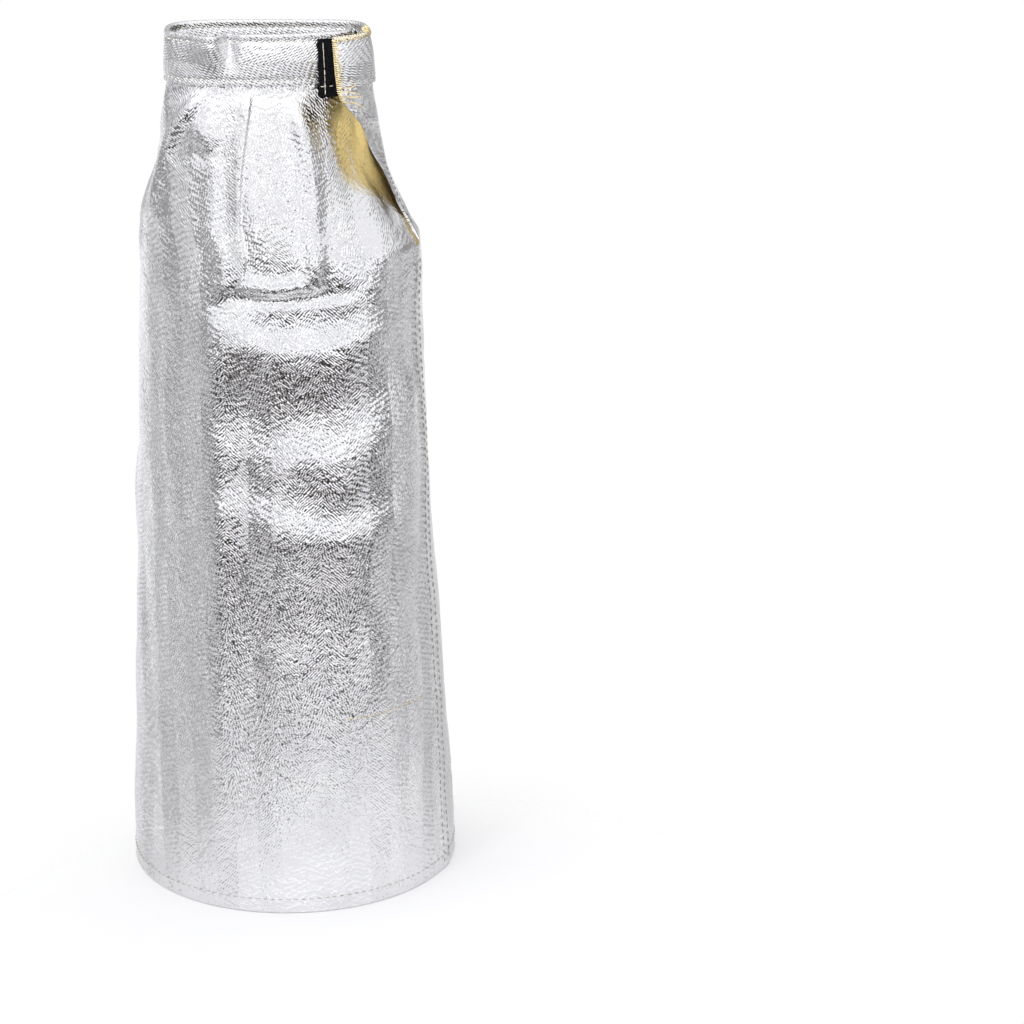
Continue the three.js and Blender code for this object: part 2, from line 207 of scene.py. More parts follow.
BACK_FOLDS = (
    Fold("back_pleat_left", (-20, 380), (-26, 345), (-28, 305), 3.4, 5, 9),
    Fold("back_pleat_right", (14, 380), (20, 345), (22, 305), 3.4, 9, 5),
    Fold("back_crease", (-34, 294), (-2, 285), (30, 291), -4, 7, 10),
    Fold("back_valley", (-34, 224), (4, 206), (38, 218), -2.6, 14, 16),
)

PUFFS = (
    Puff("centre_panel", -1, 332, 16, 40, 4, 3.2),
    Puff("left_dome", -29, 358, 9, 10, 2, 3),
    Puff("right_pillow", 40, 294, 17, 28, 2, 3.0),
    Puff("vent_hollow", 35, 343, 9, 22, 2, -3),
)

CUFF_DENTS = (
    Puff("left_bulge", -28, 399, 8.5, 16, 2, 6),
    Puff("rim_crease", -21, 399, 3.4, 18, 2, -6),
)


def ease(value: Array, low: float, high: float) -> Array:
    """Ease from 0 at low to 1 at high.

    Args:
        value: numbers to ease.
        low: where the ease starts.
        high: where it is whole.

    Returns:
        Numbers from 0 to 1.
    """
    t = np.clip((np.asarray(value, dtype=float) - low) / (high - low), 0.0, 1.0)
    return t * t * (3.0 - 2.0 * t)


@lru_cache(maxsize=None)
def lattice(seed: int) -> Array:
    """Return a fixed lattice of numbers between -1 and 1 for one seed."""
    return np.random.default_rng(seed).uniform(-1.0, 1.0, (LATTICE_SIZE, LATTICE_SIZE))


def drift(u: Array, v: Array, seed: int) -> Array:
    """Smooth wandering numbers over a plane, one change for each unit.

    Args:
        u: place across.
        v: place up.
        seed: which lattice to read.

    Returns:
        Numbers between -1 and 1.
    """
    grid = lattice(seed)
    u, v = np.broadcast_arrays(np.asarray(u, dtype=float), np.asarray(v, dtype=float))
    column, row = np.floor(u).astype(int), np.floor(v).astype(int)
    a, b = ease(u - column, 0, 1), ease(v - row, 0, 1)
    c0, c1, r0, r1 = (place % LATTICE_SIZE for place in (column, column + 1, row, row + 1))
    low = grid[r0, c0] * (1 - a) + grid[r0, c1] * a
    high = grid[r1, c0] * (1 - a) + grid[r1, c1] * a
    return low * (1 - b) + high * b


@dataclass(frozen=True)
class Wave:
    """Small waves of handled cloth: their rise, their size across and up, and how they lean."""

    rise: float
    across: float
    up: float
    seed: int
    lean_across: float = math.inf
    lean_up: float = math.inf

    def at(self, arc: Array, height: float) -> Array:
        """Work out the waves along one level.

        Args:
            arc: places along the level.
            height: its height in millimetres.

        Returns:
            The rise at each place.
        """
        u = arc / self.across + height / self.lean_across
        v = height / self.up + arc / self.lean_up
        return self.rise * drift(u, v, self.seed)


CLOTH_WAVES = (
    Wave(0.9, 34, 41, 3, lean_up=160),
    Wave(0.5, 14, 17, 5),
    Wave(0.13, 5.2, 4.6, 8),
)
FLANK_WAVE = Wave(0.9, 8.5, 46, 12, lean_across=90)
FLANK_START = (34.0, 60.0)
FLANK_END = (120.0, 150.0)
WAIST_WAVE = Wave(0.2, 3.4, 3, 17)
WAIST_HEIGHT = 289.0
WAIST_REACH = 7.0


def spread(start: float, spans: Spans) -> Array:
    """Place values along spans of even steps.

    Args:
        start: the first value.
        spans: the end of each span and its number of steps.

    Returns:
        All the values in order.
    """
    values = [start]
    for end, steps in spans:
        values.extend(np.linspace(values[-1], end, steps + 1)[1:])
    return np.array(values)


class HeightTable:
    """A table of rows by height, read smoothly without overshoot."""

    def __init__(self, rows: Sequence[object], columns: Sequence[str]) -> None:
        """Keep the rows' heights, values and slopes.

        Args:
            rows: the table's rows, each with a height.
            columns: the names of the columns to read.
        """
        self.heights = np.array([row.height for row in rows], dtype=float)
        self.values = {
            name: np.array([getattr(row, name) for row in rows], dtype=float) for name in columns
        }
        self.slopes = {name: self._slopes(values) for name, values in self.values.items()}

    def _slopes(self, values: Array) -> Array:
        """Find the slope at each row, level where the values turn.

        Args:
            values: one column's values.

        Returns:
            The slopes.
        """
        rise = np.diff(values) / np.diff(self.heights)
        before, after = rise[:-1], rise[1:]
        same = before * after > 0
        total = np.where(same, before + after, 1.0)
        middle = np.where(same, 2 * before * after / total, 0.0)
        return np.concatenate([rise[:1], middle, rise[-1:]])

    def read(self, name: str, height: float) -> float:
        """Read one column.

        Args:
            name: the column.
            height: where to read it, in millimetres.

        Returns:
            The column's value there.
        """
        level = min(max(height, self.heights[0]), self.heights[-1])
        upper = max(1, int(np.searchsorted(self.heights, level)))
        lower = upper - 1
        run = self.heights[upper] - self.heights[lower]
        t = (level - self.heights[lower]) / run
        rest = 1 - t
        values, slopes = self.values[name], self.slopes[name]
        start = values[lower] * (1 + 2 * t) + slopes[lower] * run * t
        end = values[upper] * (1 + 2 * rest) - slopes[upper] * run * rest
        return float(start * rest * rest + end * t * t)


class Section:
    """A level section's outline, walked from the middle of the front toward +X."""

    def __init__(self, table: HeightTable, height: float) -> None:
        """Trace the outline.

        Args:
            table: the section table.
            height: the section's height in millimetres.
        """
        power = 2 / table.read("squareness", height)
        angle = np.linspace(-math.pi / 2, 1.5 * math.pi, SECTION_SAMPLES + 1)
        across, deep = np.cos(angle), np.sin(angle)
        x = table.read("half_width", height) * np.sign(across) * np.abs(across) ** power
        y = table.read("half_depth", height) * np.sign(deep) * np.abs(deep) ** power
        self.x = x + table.read("middle_x", height)
        self.y = y + table.read("middle_y", height)
        strides = np.hypot(np.diff(self.x), np.diff(self.y))
        self.walked = np.concatenate([[0.0], np.cumsum(strides)])
        self.girth = float(self.walked[-1])

    def place(self, arc: Array) -> Array:
        """Return the points of the outline at the given arcs."""
        wrapped = np.mod(arc, self.girth)
        return np.stack([np.interp(wrapped, self.walked, side) for side in (self.x, self.y)], -1)

    def heading(self, arc: Array) -> Array:
        """Return the walking direction at the given arcs."""
        step = self.place(arc + HEADING_STRIDE) - self.place(arc - HEADING_STRIDE)
        return step / np.linalg.norm(step, axis=-1, keepdims=True)

    def from_middle(self, arc: Array, face: Face) -> Array:
        """Count arcs from the middle of a face, within half a girth each way."""
        half = self.girth / 2
        return np.mod(arc if face is Face.BACK else arc + half, self.girth) - half

    def arc_at_x(self, x: float, face: Face) -> float:
        """Find where a face has the given X.

        Args:
            x: the X in millimetres.
            face: the face to look on.

        Returns:
            The arc from the middle of that face.
        """
        quarter = SECTION_SAMPLES // 4
        middle = 2 * quarter if face is Face.BACK else 0
        steps = np.arange(middle - quarter, middle + quarter + 1) % SECTION_SAMPLES
        nearest = steps[np.argmin(np.abs(self.x[steps] - x))]
        return float(self.from_middle(self.walked[nearest], face))


class FoldLine:
    """A fold laid out on the unrolled cloth."""

    def __init__(self, fold: Fold, face: Face, form: "SleeveForm") -> None:
        """Lay the fold's three points out and join them by a smooth line.

        Args:
            fold: the fold's row.
            face: the face that it lies on.
            form: the sleeve's form, which turns X into arc.
        """
        self.fold = fold
        self.face = face
        points = (fold.start, fold.bend, fold.end)
        first, middle, last = (np.array([form.section(z).arc_at_x(x, face), z]) for x, z in points)
        halves = ((first, first, middle, last), (first, middle, last, last))
        shares = np.linspace(0, 2, CURVE_SAMPLES + 1)
        parts = [min(int(share), 1) for share in shares]
        self.line = np.array([self._between(*halves[n], share - n) for n, share in zip(parts, shares)])

    @staticmethod
    def _between(p0: Array, p1: Array, p2: Array, p3: Array, t: float) -> Array:
        """Find a point between the middle two of four points on a smooth line.

        Args:
            p0: the point before.
            p1: where the share is 0.
            p2: where the share is 1.
            p3: the point after.
            t: the share of the way.

        Returns:
            The point.
        """
        v0, v1 = (p2 - p0) / 2, (p3 - p1) / 2
        cube = 2 * p1 - 2 * p2 + v0 + v1
        square = 3 * p2 - 3 * p1 - 2 * v0 - v1
        return cube * t**3 + square * t**2 + v0 * t + p1

    def relief(self, arc: Array, height: float) -> tuple[Array, Array]:
        """Say how the fold moves the cloth.

        Args:
            arc: places along one level, from the middle of the fold's face.
            height: that level's height.

        Returns:
            The rise outward and the roll sideways at each place.
        """
        spots = np.stack([arc, np.full_like(arc, height)], -1)
        starts, along = self.line[:-1], np.diff(self.line, axis=0)
        offset = spots[:, None, :] - starts[None]
        share = np.clip((offset * along).sum(-1) / (along * along).sum(-1), 0, 1)
        miss = np.linalg.norm(offset - share[..., None] * along, axis=-1)
        nearest = miss.argmin(1)
        rows = np.arange(len(arc))
        chosen = offset[rows, nearest]
        side = along[nearest, 0] * chosen[:, 1] - along[nearest, 1] * chosen[:, 0]
        travel = (nearest + share[rows, nearest]) / CURVE_SAMPLES
        ends = ease(travel, 0, self.fold.fade) * ease(1 - travel, 0, self.fold.fade)
        reach = np.where(side > 0, self.fold.right, self.fold.left)
        weight = ends * np.exp(-((miss[rows, nearest] / reach) ** 2))
        return self.fold.rise * weight, self.fold.roll * weight


@dataclass(frozen=True)
class Strip:
    """One level of the sleeve's strip, from the front panel's end to the flap's edge."""

    height: float
    base: Array
    heading: Array
    arc: Array
    stand: Array
    roll: Array
    seam: Array

    @property
    def outward(self) -> Array:
        """Return the level direction that faces out of the cloth."""
        return np.stack([self.heading[:, 1], -self.heading[:, 0]], -1)

    def layer(self, offset: Array) -> Array:
        """Place points beside the cloth's middle.

        Args:
            offset: how far outside the middle they stand, in millimetres.

        Returns:
            The points in millimetres.
        """
        aside = self.heading * self.roll[:, None]
        flat = self.base + self.outward * np.reshape(self.stand + offset, (-1, 1)) + aside
        return np.column_stack([flat, np.full(len(flat), self.height)])


class SleeveForm:
    """The sleeve's shape, worked out from the section, vent and fold tables."""

    def __init__(self) -> None:
        """Read the tables and lay the folds out."""
        names = ("half_width", "half_depth", "squareness", "middle_x", "middle_y")
        self.sections = HeightTable(SECTIONS, names)
        self.vent = HeightTable(VENT, ("share", "lap", "tuck", "lift", "flare"))
        self._cache: dict[float, Section] = {}
        self.lines = [FoldLine(fold, Face.FRONT, self) for fold in FRONT_FOLDS]
        self.lines += [FoldLine(fold, Face.BACK, self) for fold in BACK_FOLDS]

    def section(self, height: float) -> Section:
        """Trace the level section at a height once, and keep it.

        Args:
            height: the height in millimetres.

        Returns:
            The section.
        """
        if height not in self._cache:
            self._cache[height] = Section(self.sections, height)
        return self._cache[height]

    def lap(self, height: float) -> float:
        """Return how far the front panel runs on under the flap."""
        return self.vent.read("lap", height) if height > VENT_BOTTOM else 0.0

    def length(self, height: float) -> float:
        """Return the strip's length at a height."""
        return self.section(height).girth + self.lap(height)

    def share_at_arc(self, arc: float, height: float) -> float:
        """Return the share of the strip where it has the given arc from the front's middle."""
        edge = self.section(height).girth * self.vent.read("share", height)
        return (edge + self.lap(height) - arc) / self.length(height)

    def share_at_x(self, x: float, height: float) -> float:
        """Return the share of the strip where the front has the given X."""
        return self.share_at_arc(self.section(height).arc_at_x(x, Face.FRONT), height)

    def _relief(self, section: Section, arc: Array, height: float) -> tuple[Array, Array]:
        """Add the folds, puffs and dents up at one level.

        Args:
            section: the level section.
            arc: places along it.
            height: its height.

        Returns:
            The rise outward and the roll sideways at each place.
        """
        front, back = (section.from_middle(arc, face) for face in Face)
        hold = float(ease(CUFF_BOTTOM - height, 0, CUFF_HOLD_RUN))
        give = float(ease(height, *RIM_GIVE))
        rise, roll = np.zeros_like(arc), np.zeros_like(arc)
        for line in self.lines:
            up, aside = line.relief(front if line.face is Face.FRONT else back, height)
            rise += hold * up
            roll += hold * aside
        for puffs, share in ((PUFFS, hold), (CUFF_DENTS, give)):
            for puff in puffs:
                middle = self.section(puff.height).arc_at_x(puff.across, Face.FRONT)
                across = np.abs(front - middle) / puff.reach_across
                up = abs(height - puff.height) / puff.reach_height
                rise += share * puff.rise * np.exp(-(across**puff.flatness) - up**puff.flatness)
        settle = float(ease(height, *HEM_SETTLE))
        return (rise + hold * self._crumple(front, height)) * settle, roll * settle

    @staticmethod
    def _crumple(arc: Array, height: float) -> Array:
        """Work out the small unevenness of the handled cloth.

        Args:
            arc: places along one level, from the middle of the front.
            height: its height.

        Returns:
            The rise at each place.
        """
        flank = ease(-arc, *FLANK_START) * (1 - ease(-arc, *FLANK_END))
        waist = math.exp(-(((height - WAIST_HEIGHT) / WAIST_REACH) ** 2))
        rise = sum(wave.at(arc, height) for wave in CLOTH_WAVES)
        return rise + flank * FLANK_WAVE.at(arc, height) + waist * WAIST_WAVE.at(arc, height)

    def strip(self, height: float, shares: Array) -> Strip:
        """Work out one level of the strip.

        Args:
            height: the level's height in millimetres.
            shares: places along the strip, from 0 to 1.

        Returns:
            The strip's level.
        """
        section = self.section(height)
        lap, length = self.lap(height), self.length(height)
        shares = np.atleast_1d(np.asarray(shares, dtype=float))
        from_start = shares * length
        from_flap = length - from_start
        arc = section.girth * self.vent.read("share", height) + lap - from_start
        rise, roll = self._relief(section, arc, height)
        below_cuff = CUFF_BOTTOM - PANEL_UNDER_CUFF - height
        closing = PANEL_RETURN * float(ease(below_cuff, 0, PANEL_CLOSE_RUN))
        tuck = self.vent.read("tuck", height) * ease(lap + TUCK_RUN - from_start, 0, TUCK_RUN)
        tuck = tuck * (1 - closing * ease(PANEL_END - from_start, 0, PANEL_TURN))
        lift = self.vent.read("lift", height) * ease(lap + LIFT_RUN - from_flap, 0, LIFT_RUN)
        lift = lift + self.vent.read("flare", height) * ease(FLARE_RUN - from_flap, 0, FLARE_RUN)
        seam_reach = np.minimum(from_start, from_flap) / SEAM_HALF_WIDTH
        seam_hold = float(ease(VENT_BOTTOM - height, -SEAM_FADE, 0))
        return Strip(
            height=height,
            base=section.place(arc),
            heading=section.heading(arc),
            arc=arc,
            stand=rise + lift - tuck,
            roll=roll,
            seam=SEAM_RISE * seam_hold * np.exp(-(seam_reach**SEAM_FLATNESS)),
        )


class NodeWork:
    """Shader nodes under construction in one tree."""

    def __init__(self, tree: bpy.types.NodeTree) -> None:
        """Start with an empty tree.

        Args:
            tree: the tree to work in.
        """
        self.tree = tree
        tree.nodes.clear()

    def node(self, kind: str, **settings: object) -> bpy.types.Node:
        """Add a node.

        Args:
            kind: the node's type.
            settings: its properties.

        Returns:
            The node.
        """
        made = self.tree.nodes.new(kind)
        for key, value in settings.items():
            setattr(made, key, value)
        return made

    def feed(self, socket: Socket, value: object) -> None:
        """Link a socket to another, or set its plain value.

        Args:
            socket: the socket to feed.
            value: another socket, or a constant.
        """
        if isinstance(value, Socket):
            self.tree.links.new(value, socket)
        else:
            socket.default_value = value

    def fill(self, made: bpy.types.Node, **values: object) -> Socket:
        """Feed a node's sockets by name; a double underscore stands for a space.

        Args:
            made: the node.
            values: sockets or constants by name.

        Returns:
            The node's first output.
        """
        for key, value in values.items():
            self.feed(made.inputs[key.replace("__", " ")], value)
        return made.outputs[0]

    def sum(self, operation: str, *values: object) -> Socket:
        """Combine numbers with one Math operation.

        Args:
            operation: the Math node's operation.
            values: sockets or numbers.

        Returns:
            The result's socket.
        """
        made = self.node("ShaderNodeMath", operation=operation)
        for socket, value in zip(made.inputs, values):
            self.feed(socket, value)
        return made.outputs[0]

    def ease(self, value: Socket, low: float, high: float, ends: tuple[float, float] = (0.0, 1.0)) -> Socket:
        """Ease a number between two ends.

        Args:
            value: the number.
            low: where the ease starts.
            high: where it is whole.
            ends: the results before and after.

        Returns:
            The eased number's socket.
        """
        made = self.node("ShaderNodeMapRange", interpolation_type="SMOOTHSTEP")
        return self.fill(made, Value=value, From__Min=low, From__Max=high, To__Min=ends[0], To__Max=ends[1])

    def steps(self, value: Socket, steps: Sequence[tuple[float, Colour]]) -> Socket:
        """Turn a number into a colour by steps.

        Args:
            value: the number.
            steps: where the colours stand, and the colours.

        Returns:
            The colour's socket.
        """
        made = self.node("ShaderNodeValToRGB")
        elements = made.color_ramp.elements
        while len(elements) < len(steps):
            elements.new(0.5)
        for element, (place, colour) in zip(elements, steps):
            element.position = place
            element.color = (*colour, 1.0)
        self.feed(made.inputs[0], value)
        return made.outputs[0]


@dataclass(frozen=True)
class Herringbone:
    """A herringbone twill: columns, ribs, floats and yarns in millimetres, wander sizes in metres."""

    column: float = 10.5
    pitch: float = 1.5
    steep: float = 1.0
    float_length: float = 1.7
    warp: float = 2.2
    wander_across: float = 0.006
    wander_along: float = 0.0035
    rib_edge: float = 0.25
    float_shift: float = 0.381
    bead: float = 0.85
    flat_top: float = 0.7


class Sketch(NodeWork):
    """A procedural material under construction."""

    def __init__(self, name: str) -> None:
        """Start a material with its shader and output.

        Args:
            name: the material's name.
        """
        self.material = bpy.data.materials.new(name)
        self.material.use_nodes = True
        super().__init__(self.material.node_tree)
        self.shader = self.node("ShaderNodeBsdfPrincipled")
        output = self.node("ShaderNodeOutputMaterial")
        self.feed(output.inputs["Surface"], self.shader.outputs["BSDF"])

    def set(self, **values: object) -> None:
        """Feed the shader's own sockets by name; a double underscore stands for a space."""
        self.fill(self.shader, **values)

    def cloth_place(self, grain: Grain) -> tuple[Socket, Socket]:
        """Find the place on the cloth in millimetres.

        Args:
            grain: the way the weave's columns run.

        Returns:
            The places across and along the columns.
        """
        chart = self.node("ShaderNodeUVMap", uv_map="cloth")
        split = self.node("ShaderNodeSeparateXYZ")
        self.feed(split.inputs[0], chart.outputs[0])
        across, along = split.outputs[0], split.outputs[1]
        return (across, along) if grain is Grain.ALONG else (along, across)

    def noise(self, size: float, detail: float, rough: float = 0.5) -> Socket:
        """Add noise in space.

        Args:
            size: about how wide its lumps are, in metres.
            detail: how many finer layers it has.
            rough: the finer layers' share.

        Returns:
            The noise's socket.
        """
        place = self.node("ShaderNodeTexCoord").outputs["Object"]
        made = self.node("ShaderNodeTexNoise")
        self.fill(made, Vector=place, Scale=1 / size, Detail=detail, Roughness=rough)
        return made.outputs["Fac"]

    def spread_to(self, value: Socket, ends: tuple[float, float]) -> Socket:
        """Map a number from 0..1 to another range.

        Args:
            value: the number.
            ends: the range's ends.

        Returns:
            The mapped number's socket.
        """
        return self.fill(self.node("ShaderNodeMapRange"), Value=value, To__Min=ends[0], To__Max=ends[1])

    def bump(self, height: Socket, depth: float, strength: float, under: Optional[Socket] = None) -> Socket:
        """Add a relief to the surface.

        Args:
            height: the relief, from 0 to 1.
            depth: its depth in metres.
            strength: its share, from 0 to 1.
            under: a relief that it lies on.

        Returns:
            The bent normal's socket.
        """
        made = self.node("ShaderNodeBump")
        if under is not None:
            self.feed(made.inputs["Normal"], under)
        return self.fill(made, Strength=strength, Distance=depth, Height=height)

    def rounded(self, turns: Socket, flat_top: float) -> Socket:
        """Draw a wave from 0 to 1 with a broad top.

        Args:
            turns: the place, one wave for each unit.
            flat_top: the power that broadens the top.

        Returns:
            The wave's socket.
        """
        sine = self.sum("SINE", self.sum("MULTIPLY", turns, 2 * math.pi))
        return self.sum("POWER", self.sum("MULTIPLY_ADD", sine, 0.5, 0.5), flat_top)

    def herringbone(self, grain: Grain, twill: Herringbone) -> Socket:
        """Draw the relief of a herringbone twill.

        Args:
            grain: the way its columns run.
            twill: its measures.

        Returns:
            The relief's socket, from 0 to 1.
        """
        across, along = self.cloth_place(grain)
        across = self.sum("MULTIPLY_ADD", self.noise(twill.wander_across, 1.0), twill.warp, across)
        along = self.sum("MULTIPLY_ADD", self.noise(twill.wander_along, 2.0), twill.warp, along)
        swing = self.sum("PINGPONG", across, twill.column)
        turn = self.sum("FLOOR", self.sum("DIVIDE", across, twill.column))
        climb = self.sum("DIVIDE", self.sum("MULTIPLY_ADD", swing, twill.steep, along), twill.pitch)
        rib = self.sum("MULTIPLY_ADD", turn, 0.5, climb)
        number = self.sum("FLOOR", self.sum("ADD", rib, twill.rib_edge))
        shift = self.sum("MULTIPLY", number, twill.float_shift)
        dash = self.sum("ADD", self.sum("DIVIDE", swing, twill.float_length), shift)
        ridge, bead = (self.rounded(turns, twill.flat_top) for turns in (rib, dash))
        return self.sum("MULTIPLY", ridge, self.sum("MULTIPLY_ADD", bead, twill.bead, 1 - twill.bead))


@dataclass(frozen=True)
class AluminizedTwill:
    """Aluminium foil bonded to herringbone twill, crinkled by handling."""

    name: str
    grain: Grain
    twill: Herringbone = Herringbone()
    weave_depth: float = 0.00012
    crinkle_depth: float = 0.0006
    crinkle_size: float = 0.0021
    crinkle_share: float = 0.8
    blotch_size: float = 0.02
    blotch_ends: tuple[float, float] = (0.35, 0.65)
    roughness: tuple[float, float] = (0.12, 0.17)
    dark: Colour = (0.76, 0.76, 0.775)
    pale: Colour = (0.81, 0.81, 0.82)

    def material(self) -> Material:
        """Build the finish.

        Returns:
            The material.
        """
        sketch = Sketch(self.name)
        blotch = sketch.noise(self.blotch_size, 2.0)
        crinkle = sketch.noise(self.crinkle_size, 1.0)
        weave = sketch.herringbone(self.grain, self.twill)
        under = sketch.bump(crinkle, self.crinkle_depth, self.crinkle_share)
        sketch.set(
            Metallic=1.0,
            Base__Color=sketch.steps(blotch, tuple(zip(self.blotch_ends, (self.dark, self.pale)))),
            Roughness=sketch.spread_to(blotch, self.roughness),
            Normal=sketch.bump(weave, self.weave_depth, 1.0, under),
        )
        return sketch.material


@dataclass(frozen=True)
class AramidTwill:
    """The golden inner face of the twill."""

    name: str = "aramid_twill"
    twill: Herringbone = Herringbone(pitch=1.9, float_length=2.1, warp=0.8)
    weave_depth: float = 0.0003
    weave_share: float = 0.9
    weave_shade: float = 0.6
    mottle_size: float = 0.003
    mottle_shade: float = 0.5
    shade: Colour = (0.70, 0.53, 0.20)
    light: Colour = (0.88, 0.74, 0.36)

    def material(self) -> Material:
        """Build the finish.

        Returns:
            The material.
        """
        sketch = Sketch(self.name)
        weave = sketch.herringbone(Grain.ALONG, self.twill)
        woven = sketch.sum("MULTIPLY", weave, self.weave_shade)
        mottled = sketch.sum("MULTIPLY_ADD", sketch.noise(self.mottle_size, 2.0), self.mottle_shade, woven)
        sketch.set(
            Roughness=0.86,
            Sheen__Weight=0.25,
            Sheen__Roughness=0.5,
            Base__Color=sketch.steps(mottled, ((0.2, self.shade), (0.8, self.light))),
            Normal=sketch.bump(weave, self.weave_depth, self.weave_share),
        )
        return sketch.material


@dataclass(frozen=True)
class SpunThread:
    """Spun sewing thread."""

    name: str
    shade: Colour
    light: Colour
    strand_size: float = 0.0004
    strand_depth: float = 0.0002
    strand_share: float = 0.8

    def material(self) -> Material:
        """Build the finish.

        Returns:
            The material.
        """
        sketch = Sketch(self.name)
        strands = sketch.noise(self.strand_size, 2.0)
        sketch.set(
            Roughness=0.62,
            Sheen__Weight=0.3,
            Sheen__Roughness=0.4,
            Base__Color=sketch.steps(strands, ((0.3, self.shade), (0.6, self.light))),
            Normal=sketch.bump(strands, self.strand_depth, self.strand_share),
        )
        return sketch.material


@dataclass(frozen=True)
class BlackPile:
    """Black nylon closure tape."""

    name: str
    lump: float
    roughness: float
    depth: float = 0.0006
    shade: Colour = (0.001, 0.001, 0.0015)
    light: Colour = (0.008, 0.008, 0.009)

    def material(self) -> Material:
        """Build the finish.

        Returns:
            The material.
        """
        sketch = Sketch(self.name)
        pile = sketch.noise(self.lump, 3.0, 0.65)
        sketch.set(
            Roughness=self.roughness,
            Sheen__Weight=0.02,
            Sheen__Roughness=0.45,
            Specular__IOR__Level=0.15,
            Base__Color=sketch.steps(pile, ((0.35, self.shade), (0.75, self.light))),
            Normal=sketch.bump(pile, self.depth, 1.0),
        )
        return sketch.material


@dataclass(frozen=True)
class PaleFloor:
    """A matt white floor that thins out round the object."""

    name: str = "pale_floor"
    colour: Colour = (0.93, 0.93, 0.935)
    middle: Spot = (0.05, -0.15, 0.0)
    near: float = 0.10
    far: float = 0.26

    def material(self) -> Material:
        """Build the finish.

        Returns:
            The material.
        """
        sketch = Sketch(self.name)
        spot = sketch.node("ShaderNodeNewGeometry").outputs["Position"]
        away = sketch.node("ShaderNodeVectorMath", operation="DISTANCE")
        sketch.feed(away.inputs[0], spot)
        sketch.feed(away.inputs[1], self.middle)
        thin = sketch.ease(away.outputs["Value"], self.near, self.far, (1.0, 0.0))
        sketch.set(Roughness=0.7, Base__Color=(*self.colour, 1.0), Alpha=thin)
        return sketch.material


@dataclass
class MeshPlan:
    """Vertices in millimetres, faces, and each face corner's place on the cloth."""

    points: list[Array] = field(default_factory=list)
    faces: list[list[int]] = field(default_factory=list)
    charts: list[Array] = field(default_factory=list)
    slots: list[int] = field(default_factory=list)
    count: int = 0

    def add_points(self, points: Array) -> Array:
        """Add vertices.

        Args:
            points: their places in millimetres.

        Returns:
            Their numbers in the same layout.
        """
        flat = points.reshape(-1, 3)
        numbers = np.arange(self.count, self.count + len(flat)).reshape(points.shape[:-1])
        self.points.append(flat)
        self.count += len(flat)
        return numbers

    def add_quads(self, corners: Sequence[Array], charts: Sequence[Array], slot: int = 0) -> None:
        """Add quads from four arrays of corners.

        Args:
            corners: the four corners' vertex numbers.
            charts: the four corners' places on the cloth.
            slot: the material slot of the faces.
        """
        quads = np.stack([corner.reshape(-1) for corner in corners], -1)
        self.faces.extend(quads.tolist())
        self.slots.extend([slot] * len(quads))
        self.charts.append(np.stack([chart.reshape(-1, 2) for chart in charts], 1).reshape(-1, 2))

    def add_face(self, corners: Array, charts: Array, slot: int = 0) -> None:
        """Add one face of any number of corners.

        Args:
            corners: the corners' vertex numbers.
            charts: the corners' places on the cloth.
            slot: the material slot of the face.
        """
        self.faces.append(corners.tolist())
        self.slots.append(slot)
        self.charts.append(charts)

    def add_grid(self, numbers: Array, chart: Array, outward: bool, slot: int = 0) -> None:
        """Add a grid of quads, rows upward and columns along the strip.

        Args:
            numbers: the grid's vertex numbers.
            chart: each vertex's place on the cloth.
            outward: whether the faces look out of the sleeve.
            slot: the material slot of the faces.
        """
        low, high = slice(None, -1), slice(1, None)
        order = [(low, low), (high, low), (high, high), (low, high)]
        if not outward:
            order.reverse()
        self.add_quads([numbers[k] for k in order], [chart[k] for k in order], slot)

    def add_wall(self, out: Array, into: Array, chart: Array, open_from: int = 0, slot: int = 0) -> None:
        """Close the gap between an outer and an inner grid along their borders.

        Args:
            out: the outer grid's vertex numbers.
            into: the inner grid's vertex numbers.
            chart: each vertex's place on the cloth.
            open_from: the row from which the two ends of the strip are apart.
            slot: the material slot of the faces.
        """
        for row in (0, -1):
            near, far = slice(None, -1), slice(1, None)
            ring = [into[row, near], out[row, near], out[row, far], into[row, far]]
            place = [chart[row, near], chart[row, near], chart[row, far], chart[row, far]]
            turn = 1 if row == 0 else -1
            self.add_quads(ring[::turn], place[::turn], slot)
        for column in (0, -1):
            low, high = slice(open_from, -1), slice(open_from + 1, None)
            edge = [into[low, column], into[high, column], out[high, column], out[low, column]]
            place = [chart[low, column], chart[high, column], chart[high, column], chart[low, column]]
            turn = 1 if column == 0 else -1
            self.add_quads(edge[::turn], place[::turn], slot)

    def build(self, name: str, materials: Sequence[Material], crease: float = 55.0) -> Piece:
        """Turn the plan into an object.

        Args:
            name: the object's name.
            materials: its materials in slot order.
            crease: faces that meet at more than this angle, in degrees, stay crisp.

        Returns:
            The object, linked to the scene.
        """
        points = np.concatenate(self.points) * MM
        used = np.zeros(len(points), dtype=bool)
        used[np.concatenate([np.array(face) for face in self.faces])] = True
        renumber = np.cumsum(used) - 1
        mesh = bpy.data.meshes.new(name)
        faces = [renumber[face].tolist() for face in self.faces]
        mesh.from_pydata(points[used].tolist(), [], faces)
        chart = mesh.uv_layers.new(name="cloth")
        chart.data.foreach_set("uv", np.concatenate(self.charts).astype(np.float32).reshape(-1))
        mesh.polygons.foreach_set("material_index", np.array(self.slots, dtype=np.int32))
        mesh.shade_smooth()
        mesh.set_sharp_from_angle(angle=math.radians(crease))
        for material in materials:
            mesh.materials.append(material)
        piece = bpy.data.objects.new(name, mesh)
        bpy.context.scene.collection.objects.link(piece)
        return piece


